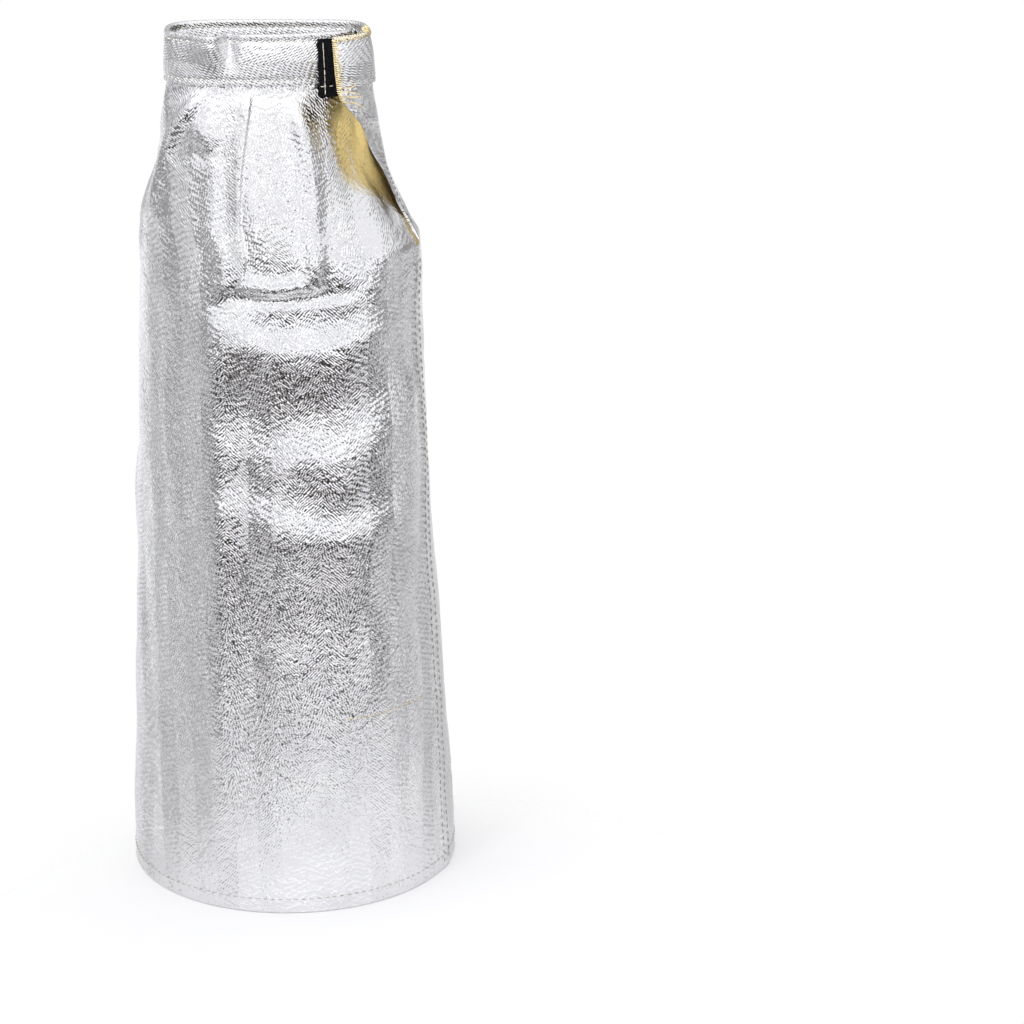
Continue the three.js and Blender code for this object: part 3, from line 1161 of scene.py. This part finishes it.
@dataclass
class SleeveBody:
    """The tapered tube of cloth with its hem, pleats, seam and vent."""

    form: SleeveForm
    node: str = "sleeve_body"
    slot: str = "aluminized_cloth"
    column_spans: Spans = ((0.38, 164), (0.86, 88), (1.0, 36))
    row_spans: Spans = (
        (HEM_DEPTH, 6), (HEM_DEPTH + HEM_STEP, 2), (106, 22), (262, 54), (VENT_BOTTOM, 26),
        (CUFF_BOTTOM, 50), (CUFF_BOTTOM + CUFF_SLOT_DEPTH - SEWN_GAP, 4),
    )
    flat: tuple[float, float] = (0.50, 0.41)
    flat_area: float = 0.172

    def skin(self, height: float, shares: Array, lift: float, side: int = 1) -> Array:
        """Return points a little above the cloth's face.

        Args:
            height: the level in millimetres.
            shares: places along the strip.
            lift: the distance above the face.
            side: 1 for the outer face, -1 for the inner.

        Returns:
            The points in millimetres.
        """
        strip = self.form.strip(height, shares)
        layers = CLOTH_WALL / 2 + (strip.seam if side > 0 else HEM_LAYER * (height <= HEM_DEPTH))
        return strip.layer(side * (layers + lift))

    def build(self, cloth: Material, lining: Material) -> Piece:
        """Build the body's wall.

        Args:
            cloth: the outer finish.
            lining: the inner finish.

        Returns:
            The body's object.
        """
        shares = spread(0.0, self.column_spans)
        heights = spread(0.0, self.row_spans)
        strips = [self.form.strip(float(z), shares) for z in heights]
        chart = np.stack([np.column_stack([s.arc, np.full_like(s.arc, s.height)]) for s in strips])
        hem = [HEM_LAYER if z <= HEM_DEPTH else 0.0 for z in heights]
        plan = MeshPlan()
        out = plan.add_points(np.stack([s.layer(CLOTH_WALL / 2 + s.seam) for s in strips]))
        into = plan.add_points(np.stack([s.layer(-CLOTH_WALL / 2 - extra) for s, extra in zip(strips, hem)]))
        sewn = int(np.searchsorted(heights, VENT_BOTTOM + SEWN_GAP)) - 1
        turned = int(np.searchsorted(heights, HEM_DEPTH + SEWN_GAP)) - 1
        for grid in (out, into):
            grid[:sewn + 1, -1] = grid[:sewn + 1, 0]
        plan.add_grid(out, chart, True)
        plan.add_grid(into[:turned + 1], chart[:turned + 1], False)
        plan.add_grid(into[turned:], chart[turned:], False, slot=1)
        plan.add_wall(out, into, chart, open_from=sewn)
        piece = plan.build("sleeve_cloth", (cloth, lining))
        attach(piece, ROOT)
        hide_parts(self.node)
        return piece


@dataclass
class CuffBand:
    """The folded strip that binds the wrist end."""

    form: SleeveForm
    node: str = "cuff_band"
    slot: str = "cuff_cloth"
    columns: int = 288
    face_rows: int = 30
    rim_rows: int = 8
    rim_round: float = 0.9
    swell: float = 0.2
    stitch_heights: tuple[float, float] = (380.6, 397.0)
    groove: float = 0.34
    groove_reach: float = 0.9
    unevenness: Wave = Wave(0.16, 11, 9, 22)
    pucker: Wave = Wave(0.24, 3.4, 9, 21)
    pucker_reach: float = 3.4
    flat: tuple[float, float] = (0.24, 0.044)

    def half(self, height: float, arc: Array) -> Array:
        """Return half the cuff's thickness, with its stitched grooves and puckers.

        Args:
            height: the level in millimetres.
            arc: places along it.

        Returns:
            The distance from the middle of the cloth to the face.
        """
        taper = float(ease(height, CUFF_BOTTOM + CUFF_SLOT_DEPTH, SLEEVE_LENGTH - self.rim_round))
        rise = (height - CUFF_BOTTOM) / (SLEEVE_LENGTH - CUFF_BOTTOM)
        half = CUFF_FOOT_HALF + (CUFF_RIM_HALF - CUFF_FOOT_HALF) * taper
        half += self.swell * math.sin(math.pi * rise)
        uneven = self.unevenness.at(arc, height)
        pucker = self.pucker.at(arc, height)
        for stitched in self.stitch_heights:
            away = height - stitched
            half -= self.groove * math.exp(-((away / self.groove_reach) ** 2))
            uneven = uneven + math.exp(-((away / self.pucker_reach) ** 2)) * pucker
        return half + uneven

    def skin(self, height: float, shares: Array, lift: float, side: int = 1) -> Array:
        """Return points a little above the cuff's face.

        Args:
            height: the level in millimetres.
            shares: places along the strip.
            lift: the distance above the face.
            side: 1 for the outer face, -1 for the inner.

        Returns:
            The points in millimetres.
        """
        strip = self.form.strip(height, shares)
        return strip.layer(side * (self.half(height, strip.arc) + lift))

    def profile(self) -> list[tuple[float, float]]:
        """Lay the profile out from the outer foot over the rim to the inner foot.

        Returns:
            The side, from 1 to -1, and the height of each point.
        """
        face = np.linspace(CUFF_BOTTOM, SLEEVE_LENGTH - self.rim_round, self.face_rows)
        turn = np.linspace(0, math.pi, self.rim_rows + 1)[1:-1]
        rim = [(math.cos(a), SLEEVE_LENGTH - self.rim_round * (1 - math.sin(a))) for a in turn]
        return [(1.0, float(z)) for z in face] + rim + [(-1.0, float(z)) for z in face[::-1]]

    def build(self, cloth: Material) -> Piece:
        """Build the cuff.

        Args:
            cloth: its finish.

        Returns:
            The cuff's object.
        """
        shares = np.linspace(0, 1, self.columns + 1)
        rings, arcs = [], []
        for side, height in self.profile():
            strip = self.form.strip(height, shares)
            rim_level = min(height, SLEEVE_LENGTH - self.rim_round)
            rings.append(strip.layer(side * self.half(rim_level, strip.arc)))
            arcs.append(strip.arc)
        slot_top = CUFF_BOTTOM + CUFF_SLOT_DEPTH
        for side, height in ((-1, CUFF_BOTTOM), (-1, slot_top), (1, slot_top), (1, CUFF_BOTTOM)):
            strip = self.form.strip(height, shares)
            rings.append(strip.layer(np.full_like(shares, side * SLOT_HALF)))
            arcs.append(strip.arc)
        strides = [float(np.linalg.norm(b[0] - a[0])) for a, b in zip(rings, rings[1:] + rings[:1])]
        climbed = np.concatenate([[0.0], np.cumsum(strides)])
        levels = zip(arcs + arcs[:1], climbed)
        chart = np.stack([np.column_stack([arc, np.full_like(arc, up)]) for arc, up in levels])
        plan = MeshPlan()
        numbers = plan.add_points(np.stack(rings))
        plan.add_grid(np.concatenate([numbers, numbers[:1]]), chart, True)
        plan.add_face(numbers[::-1, 0], chart[-2::-1, 0])
        plan.add_face(numbers[:, -1], chart[:-1, -1])
        piece = plan.build("cuff_cloth", (cloth,))
        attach(piece, ROOT)
        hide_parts(self.node)
        return piece


@dataclass
class ClosureTape:
    """One half of the closure tape, sewn flat to a cuff end."""

    form: SleeveForm
    node: str
    slot: str
    side: int
    first_share: float
    last_share: float
    flat: tuple[float, float]
    bottom: float = 372.5
    top: float = 397.5
    stand_off: float = 2.2
    thickness: float = 1.0
    pile: Wave = Wave(0.45, 1.3, 1.3, 31)
    pile_border: float = 1.5
    columns: int = 56
    rows: int = 44

    def skin(self, height: float, shares: Array, lift: float, side: int = 1) -> Array:
        """Return points above one face of the tape.

        Args:
            height: the level in millimetres.
            shares: the places along the strip.
            lift: the height above the face.
            side: 1 for the outer face, -1 for the inner.

        Returns:
            The points, one row each.
        """
        reach = self.stand_off + (self.thickness if side == self.side else 0.0) + lift
        return self.form.strip(height, shares).layer(np.full_like(shares, self.side * reach))

    def build(self, finish: Material) -> Piece:
        """Build the tape with its uneven pile.

        Args:
            finish: its finish.

        Returns:
            The tape's object.
        """
        shares = np.linspace(self.first_share, self.last_share, self.columns + 1)
        near, far, chart = [], [], []
        for height in np.linspace(self.bottom, self.top, self.rows + 1):
            strip = self.form.strip(float(height), shares)
            border = min(height - self.bottom, self.top - height)
            lumps = self.pile.at(strip.arc, height) * float(ease(border, 0, self.pile_border))
            near.append(strip.layer(np.full_like(shares, self.side * self.stand_off)))
            far.append(strip.layer(self.side * (self.stand_off + self.thickness + lumps)))
            chart.append(np.column_stack([strip.arc, np.full_like(strip.arc, height)]))
        plan = MeshPlan()
        layers = (far, near) if self.side > 0 else (near, far)
        out, into = (plan.add_points(np.stack(layer)) for layer in layers)
        places = np.stack(chart)
        plan.add_grid(out, places, True)
        plan.add_grid(into, places, False)
        plan.add_wall(out, into, places)
        piece = plan.build(self.node.replace("strip", "tape"), (finish,), crease=40.0)
        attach(piece, ROOT)
        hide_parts(self.node)
        return piece


@dataclass(frozen=True)
class Overcast:
    """The close loops that bind the flap's cuff end and the first run of its rim, in millimetres."""

    bottom: float = 371.5
    top: float = SLEEVE_LENGTH - 1.5
    pitch: float = 0.95
    inset: float = 1.5
    inset_share: tuple[float, float] = (0.75, 1.2)
    crown: float = 0.4
    climb: float = 0.2
    lifts: tuple[float, ...] = (-0.2, 0.3, 0.2)
    beyond: float = 0.55
    radius: float = 0.25
    rim_level: float = SLEEVE_LENGTH - 0.9
    rim_start: float = 0.6
    rim_run: float = 24.0
    rim_drop: tuple[float, float] = (0.8, 1.4)
    rim_lean: float = 0.0006
    rim_lifts: tuple[float, ...] = (-0.2, 0.3, 0.25)
    rim_crest: float = 1.1
    rim_radius: float = 0.22


@dataclass(frozen=True)
class LooseEnds:
    """The curled thread ends at the lower corner of the flap's cuff end, in millimetres."""

    count: int = 4
    low: float = 371.5
    high: float = 379.0
    root_share: float = 0.992
    out_share: float = 0.99
    root_lift: float = 0.3
    run: tuple[float, float] = (3, 8)
    drop: tuple[float, float] = (-3, 2)
    bulge: tuple[float, float] = (0.8, 2.2)
    curl: float = 0.85
    points: int = 9
    radius: float = 0.24


@dataclass
class ThreadWork:
    """Stitches, overcast edges and loose ends in undyed thread, in millimetres."""

    form: SleeveForm
    body: SleeveBody
    cuff: CuffBand
    golden: Material
    pale: Material
    slot: str = "aramid_thread"
    radius: float = 0.2
    sides: int = 6
    stitch: float = 2.7
    stitch_lifts: tuple[float, ...] = (-0.3, 0.1, 0.2, 0.1, -0.3)
    tack_lifts: tuple[float, ...] = (-0.3, 0.25, 0.42, 0.42, 0.25, -0.3)
    tack_radius: float = 0.34
    cuff_run: tuple[float, float] = (0.012, 0.985)
    first_aside: Spot = (0.31, 0.42, 0.85)

    def strand(self, plan: MeshPlan, path: Array, radius: float) -> None:
        """Add a round thread along a path.

        Args:
            plan: the mesh plan to add to.
            path: the thread's middle line in millimetres.
            radius: the thread's radius.
        """
        along = np.gradient(path, axis=0)
        along /= np.linalg.norm(along, axis=1, keepdims=True)
        aside = np.cross(along[0], self.first_aside)
        turn = np.linspace(0, 2 * math.pi, self.sides, endpoint=False)
        rings = []
        for spot, way in zip(path, along):
            aside = aside - way * np.dot(aside, way)
            aside /= np.linalg.norm(aside)
            across = np.cross(way, aside)
            rings.append(spot + radius * (np.outer(np.cos(turn), aside) + np.outer(np.sin(turn), across)))
        numbers = plan.add_points(np.stack(rings))
        loop = np.concatenate([numbers, numbers[:, :1]], 1)
        chart = np.zeros((*loop.shape, 2))
        plan.add_grid(loop, chart, False)
        plan.add_face(numbers[0, ::-1], chart[0, :-1])
        plan.add_face(numbers[-1], chart[0, :-1])

    @staticmethod
    def spot(skin: Skin, height: float, share: float, lift: float, side: int = 1) -> Array:
        """Return one point above a sewn face."""
        return skin(height, np.array([share]), lift, side)[0]

    def stitches(self, plan: MeshPlan, line: Array, skin: Skin, side: int = 1, space: float = 0.9) -> None:
        """Sew a row of stitches.

        Args:
            plan: the mesh plan to add to.
            line: the row's places, as share and height.
            skin: gives points above the sewn face.
            side: 1 for the outer face, -1 for the inner.
            space: the gap between two stitches.
        """
        spots = np.array([self.spot(skin, float(z), share, 0.0, side) for share, z in line])
        walked = np.concatenate([[0.0], np.cumsum(np.linalg.norm(np.diff(spots, axis=0), axis=1))])
        along = np.linspace(0, 1, len(self.stitch_lifts))
        for start in np.arange(0.0, walked[-1] - self.stitch, self.stitch + space):
            path = []
            for part, lift in zip(along, self.stitch_lifts):
                share, height = (
                    float(np.interp(start + part * self.stitch, walked, column)) for column in line.T
                )
                path.append(self.spot(skin, height, share, lift, side))
            self.strand(plan, np.array(path), self.radius)

    def piece(self, plan: MeshPlan, name: str, finish: Material) -> Piece:
        """Turn a plan of strands into a piece that rides on the sleeve.

        Args:
            plan: the strands.
            name: the piece's name.
            finish: the thread's finish.

        Returns:
            The piece.
        """
        made = plan.build(name, (finish,), crease=70.0)
        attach(made, ROOT)
        return made

    @staticmethod
    def level_row(height: float, first: float, last: float, count: int = 160) -> Array:
        """Return a level row of places from one share to another."""
        return np.column_stack([np.linspace(first, last, count), np.full(count, height)])

    def cuff_rows(self) -> Piece:
        """Sew the cuff down along its foot, and again below its rim.

        Returns:
            The stitching's object.
        """
        plan = MeshPlan()
        for height in self.cuff.stitch_heights:
            for side in (1, -1):
                self.stitches(plan, self.level_row(height, *self.cuff_run), self.cuff.skin, side)
        return self.piece(plan, "cuff_stitching", self.pale)

    def tape_rows(self, tape: ClosureTape, inset: float = 2.5, run: float = 14.0, margin: float = 0.6,
                  foot_rise: float = 4.6) -> Piece:
        """Sew a closure tape down beside its outer end and along its foot.

        Args:
            tape: the tape.
            inset: how far the row lies in from the tape's end.
            run: the length of the row along the foot.
            margin: how far the end's row stops short of the tape's corners.
            foot_rise: how far the foot's row lies above the tape's lower edge.

        Returns:
            The stitching's object.
        """
        plan = MeshPlan()
        heights = np.linspace(tape.bottom + margin, tape.top - margin, 30)
        shares = [tape.last_share - inset / self.form.length(float(z)) for z in heights]
        self.stitches(plan, np.column_stack([shares, heights]), tape.skin, tape.side, space=0.3)
        foot = tape.bottom + foot_rise
        start = tape.last_share - run / self.form.length(foot)
        self.stitches(plan, self.level_row(foot, start, tape.last_share, 20), tape.skin, tape.side)
        return self.piece(plan, "tape_stitching", self.pale)

    def seam_rows(self, apart: float = 3.1, step: float = 4.0) -> Piece:
        """Sew the felled side seam with two rows, and the turned edge of the vent's flap with one.

        Args:
            apart: how far a row lies from the edge.
            step: the distance between the row's places.

        Returns:
            The stitching's object.
        """
        plan = MeshPlan()
        low = np.arange(3.0, VENT_BOTTOM - 1, step)
        high = np.arange(VENT_BOTTOM + 8, CUFF_BOTTOM - 2, step)
        for heights, end in ((low, 0.0), (low, 1.0), (high, 1.0)):
            inset = np.array([apart / self.form.length(float(z)) for z in heights])
            self.stitches(plan, np.column_stack([np.abs(end - inset), heights]), self.body.skin)
        return self.piece(plan, "seam_stitching", self.pale)

    def hem_row(self, height: float = 6.4) -> Piece:
        """Sew the turned hem.

        Args:
            height: the row's height.

        Returns:
            The stitching's object.
        """
        plan = MeshPlan()
        for side in (1, -1):
            self.stitches(plan, self.level_row(height, 0.0, 1.0, 240), self.body.skin, side)
        return self.piece(plan, "hem_stitching", self.pale)

    def short_row(self, height: float = 94.0, start: float = 28.0, end: float = 62.0) -> Piece:
        """Sew the short level row low on the front.

        Args:
            height: the row's height.
            start: the X where it starts.
            end: the X where it ends.

        Returns:
            The stitching's object.
        """
        plan = MeshPlan()
        shares = [self.form.share_at_x(x, height) for x in (start, end)]
        self.stitches(plan, self.level_row(height, *shares, 24), self.body.skin)
        return self.piece(plan, "short_stitch_row", self.golden)

    def bar_tack(self, bottom: float = 303.0, top: float = 315.0, width: float = 4.2, turns: int = 19,
                 first_share: float = 0.002) -> Piece:
        """Sew the close bar that holds the foot of the vent.

        Args:
            bottom: its lower end in millimetres.
            top: its upper end.
            width: the length of a stitch.
            turns: the number of stitches.
            first_share: the share of the strip where a stitch starts.

        Returns:
            The bar's object.
        """
        plan = MeshPlan()
        for height in np.linspace(bottom, top, turns):
            level = float(height)
            shares = np.linspace(first_share, width / self.form.length(level), len(self.tack_lifts))
            path = [self.spot(self.body.skin, level, *place) for place in zip(shares, self.tack_lifts)]
            self.strand(plan, np.array(path), self.tack_radius)
        return self.piece(plan, "bar_tack", self.golden)

    def overcast(self, loops: Overcast = Overcast()) -> Piece:
        """Bind the flap's cuff end, and the first run of its rim, with close loops.

        Args:
            loops: the loops' measures.

        Returns:
            The binding's object.
        """
        plan = MeshPlan()
        wander = np.random.default_rng(41)
        for height in np.arange(loops.bottom, loops.top, loops.pitch):
            level = float(height)
            skin = self.cuff.skin if level >= CUFF_BOTTOM else self.body.skin
            reach = loops.inset * wander.uniform(*loops.inset_share) / self.form.length(level)
            places = list(enumerate(zip((1 - reach, 1 - loops.crown * reach, 1.0), loops.lifts)))
            returned = level + len(places) * loops.climb
            outer = [self.spot(skin, level + loops.climb * n, *place) for n, place in places]
            inner = [self.spot(skin, returned - loops.climb * n, *place, -1) for n, place in reversed(places)]
            beyond = (outer[-1] + inner[0]) / 2 + loops.beyond * self._past_edge(level)
            self.strand(plan, np.array([*outer, beyond, *inner]), loops.radius)
        for away in np.arange(loops.rim_start, loops.rim_run, loops.pitch):
            share = 1 - away / self.form.length(loops.rim_level)
            drop = wander.uniform(*loops.rim_drop)
            outer = [(fall, lift, 1) for fall, lift in zip((drop, drop / 2, 0.0), loops.rim_lifts)]
            inner = [(fall, lift, -1) for fall, lift, _ in reversed(outer)]
            path = [
                self.spot(self.cuff.skin, loops.rim_level - fall, share + loops.rim_lean * n, lift, side)
                for n, (fall, lift, side) in enumerate(outer + inner)
            ]
            half = len(outer)
            crest = (path[half - 1] + path[half]) / 2 + (0.0, 0.0, loops.rim_crest)
            self.strand(plan, np.array([*path[:half], crest, *path[half:]]), loops.rim_radius)
        return self.piece(plan, "flap_overcast", self.golden)

    def _past_edge(self, height: float) -> Array:
        """Return the direction that points past the flap's free edge."""
        strip = self.form.strip(height, np.array([1.0]))
        return np.array([-strip.heading[0, 0], -strip.heading[0, 1], 0.0])

    def loose_ends(self, ends: LooseEnds = LooseEnds()) -> Piece:
        """Leave a few curled thread ends at the lower corner of the flap's cuff end.

        Args:
            ends: the ends' measures.

        Returns:
            The ends' object.
        """
        plan = MeshPlan()
        wander = np.random.default_rng(43)
        share = np.linspace(0, 1, ends.points)[:, None]
        for height in np.linspace(ends.low, ends.high, ends.count):
            level = float(height)
            start = self.spot(self.body.skin, min(level, CUFF_BOTTOM), ends.root_share, ends.root_lift)
            run, drop, bulge = (wander.uniform(*span) for span in (ends.run, ends.drop, ends.bulge))
            out = self.form.strip(level, np.array([ends.out_share])).outward[0]
            lift = np.array([out[0], out[1], 0.0]) * bulge * np.sin(math.pi * share * ends.curl)
            fall = np.array([0, 0, drop]) * share**2
            self.strand(plan, start - self._past_edge(level) * run * share + lift + fall, ends.radius)
        return self.piece(plan, "loose_thread_ends", self.golden)


@dataclass(frozen=True)
class SoftLamp:
    """A rectangular lamp: place, aim and size in metres, power in watts and spread in degrees."""

    name: str
    place: Spot
    aim: Spot
    size: tuple[float, float]
    power: float
    spread: float = 180.0
    mirrored: bool = True

    def hang(self) -> Piece:
        """Hang the lamp.

        Returns:
            The lamp.
        """
        data = bpy.data.lights.new(self.name, "AREA")
        data.shape = "RECTANGLE"
        data.size, data.size_y = self.size
        data.energy = self.power
        data.spread = math.radians(self.spread)
        lamp = bpy.data.objects.new(self.name, data)
        lamp.location = self.place
        lamp.rotation_euler = (Vector(self.aim) - Vector(self.place)).to_track_quat("-Z", "Y").to_euler()
        lamp.visible_glossy = self.mirrored
        bpy.context.scene.collection.objects.link(lamp)
        return lamp


@dataclass(frozen=True)
class RoomSide:
    """A side of the room: its direction, where it eases in, and its greys from below to above."""

    way: Spot
    start: float
    whole: float
    greys: Greys


@dataclass
class Studio:
    """The pale floor, the soft light and the camera."""

    floor_radius: float = 0.66
    floor_drop: float = 0.0003
    camera_place: Spot = (0.1046, -1.545, 0.715)
    camera_tilt: float = 0.339
    lens: float = 123.05
    sensor: float = 36.0
    room_strength: float = 0.95
    dark_warmth: tuple[float, float] = (0.016, 0.007)
    pale_blue: float = 1.02
    around: Greys = (
        (0.0, 0.33), (0.2, 0.36), (0.27, 0.62), (0.34, 0.77), (0.385, 1.10), (0.42, 0.54),
        (0.45, 0.40), (0.60, 0.35), (0.70, 1.1), (1.0, 1.1))
    ahead: RoomSide = RoomSide((0.26, -0.966, 0.0), 0.44, 0.74, (
        (0.0, 0.90), (0.16, 0.80), (0.24, 0.12), (0.31, 0.02), (0.448, 0.02), (0.475, 1.5),
        (0.63, 1.4), (0.72, 1.0), (1.0, 1.0)))
    beyond: RoomSide = RoomSide((-0.5, 0.866, 0.0), 0.62, 0.95, (
        (0.0, 0.40), (0.2, 0.55), (0.27, 0.8), (0.34, 1.08), (0.385, 1.35), (0.42, 1.05),
        (0.45, 0.70), (0.60, 0.46), (0.70, 0.55), (1.0, 0.8)))
    lamps: tuple[SoftLamp, ...] = (
        SoftLamp("overhead", (-0.2, -0.5, 1.6), (0, 0, 0.15), (1.2, 0.9), 4.0),
        SoftLamp("gridded_side", (-0.60, -0.98, 0.42), (0.035, -0.03, 0.345), (0.7, 0.5), 1.9, 24, False),
    )

    def floor(self) -> Piece:
        """Lay the floor.

        Returns:
            The floor.
        """
        bpy.ops.mesh.primitive_circle_add(vertices=96, radius=self.floor_radius, fill_type="NGON")
        floor = bpy.context.object
        floor.name = "floor"
        floor.location.z = -self.floor_drop
        floor.data.materials.append(PaleFloor().material())
        return floor

    def camera(self) -> Piece:
        """Set the camera up before the front.

        Returns:
            The camera.
        """
        data = bpy.data.cameras.new("camera")
        data.lens = self.lens
        data.sensor_width = self.sensor
        camera = bpy.data.objects.new("camera", data)
        camera.location = self.camera_place
        camera.rotation_euler = (math.pi / 2 - self.camera_tilt, 0, 0)
        bpy.context.scene.collection.objects.link(camera)
        bpy.context.scene.camera = camera
        return camera

    def tinted(self, greys: Greys) -> list[tuple[float, Colour]]:
        """Warm the dark greys a little and cool the pale ones.

        Args:
            greys: where the greys stand, and the greys.

        Returns:
            The same places with their colours.
        """
        red, green = self.dark_warmth
        return [
            (place, (grey + red * (1 - grey), grey + green * (1 - grey), self.pale_blue * grey))
            for place, grey in greys
        ]

    def world(self) -> bpy.types.World:
        """Surround the sleeve with a pale room that is dark low in front.

        Returns:
            The world.
        """
        world = bpy.data.worlds.new("pale_room")
        world.use_nodes = True
        work = NodeWork(world.node_tree)
        way = work.node("ShaderNodeTexCoord").outputs["Generated"]
        split = work.node("ShaderNodeSeparateXYZ")
        work.feed(split.inputs[0], way)
        climb = work.fill(work.node("ShaderNodeMapRange"), Value=split.outputs[2], From__Min=-1.0)
        room = work.steps(climb, self.tinted(self.around))
        for side in (self.ahead, self.beyond):
            toward = work.node("ShaderNodeVectorMath", operation="DOT_PRODUCT")
            work.feed(toward.inputs[0], way)
            work.feed(toward.inputs[1], Vector(side.way).normalized())
            share = work.ease(toward.outputs["Value"], side.start, side.whole)
            mixed = work.node("ShaderNodeMix", data_type="RGBA")
            work.fill(mixed, Factor=share, A=room, B=work.steps(climb, self.tinted(side.greys)))
            room = mixed.outputs["Result"]
        lit = work.fill(work.node("ShaderNodeBackground"), Color=room, Strength=self.room_strength)
        plain = work.fill(work.node("ShaderNodeBackground"), Color=(1.0, 1.0, 1.0, 1.0))
        seen = work.node("ShaderNodeLightPath").outputs["Is Camera Ray"]
        blend = work.node("ShaderNodeMixShader")
        for socket, source in zip(blend.inputs, (seen, lit, plain)):
            work.feed(socket, source)
        work.feed(work.node("ShaderNodeOutputWorld").inputs["Surface"], blend.outputs[0])
        bpy.context.scene.world = world
        return world

    def build(self) -> None:
        """Set the whole studio up."""
        self.floor()
        self.camera()
        self.world()
        for lamp in self.lamps:
            lamp.hang()
        bpy.context.scene.view_settings.view_transform = "Standard"


def main() -> None:
    """Build the sleeve's pieces in order, then the studio."""
    logging.basicConfig(level=logging.INFO, format="%(name)s: %(message)s")
    form = SleeveForm()
    body, cuff = SleeveBody(form), CuffBand(form)
    cloth = AluminizedTwill("aluminized_twill", Grain.ALONG).material()
    binding = AluminizedTwill(
        "aluminized_binding", Grain.ROUND, Herringbone(warp=1.0), weave_depth=0.00018, crinkle_depth=0.00036,
    ).material()
    loop = ClosureTape(form, "loop_strip", "loop_tape", 1, 0.0123, 0.1440, (0.031, 0.025))
    hook = ClosureTape(form, "hook_strip", "hook_tape", -1, 0.9125, 0.9825, (0.0165, 0.025))
    golden = SpunThread("golden_thread", (0.42, 0.32, 0.13), (0.66, 0.54, 0.28)).material()
    pale = SpunThread("pale_thread", (0.36, 0.35, 0.31), (0.50, 0.48, 0.43)).material()
    threads = ThreadWork(form, body, cuff, golden, pale)
    pieces = [
        body.build(cloth, AramidTwill().material()),
        cuff.build(binding),
        loop.build(BlackPile("loop_pile", 0.0009, 0.9).material()),
        hook.build(BlackPile("hook_pile", 0.0005, 0.6).material()),
        threads.cuff_rows(),
        threads.tape_rows(loop),
        threads.seam_rows(),
        threads.hem_row(),
        threads.short_row(),
        threads.bar_tack(),
        threads.overcast(),
        threads.loose_ends(),
    ]
    for piece in pieces:
        LOG.info("built %s with %d faces", piece.name, len(piece.data.polygons))
    Studio().build()


if __name__ == "__main__":
    main()
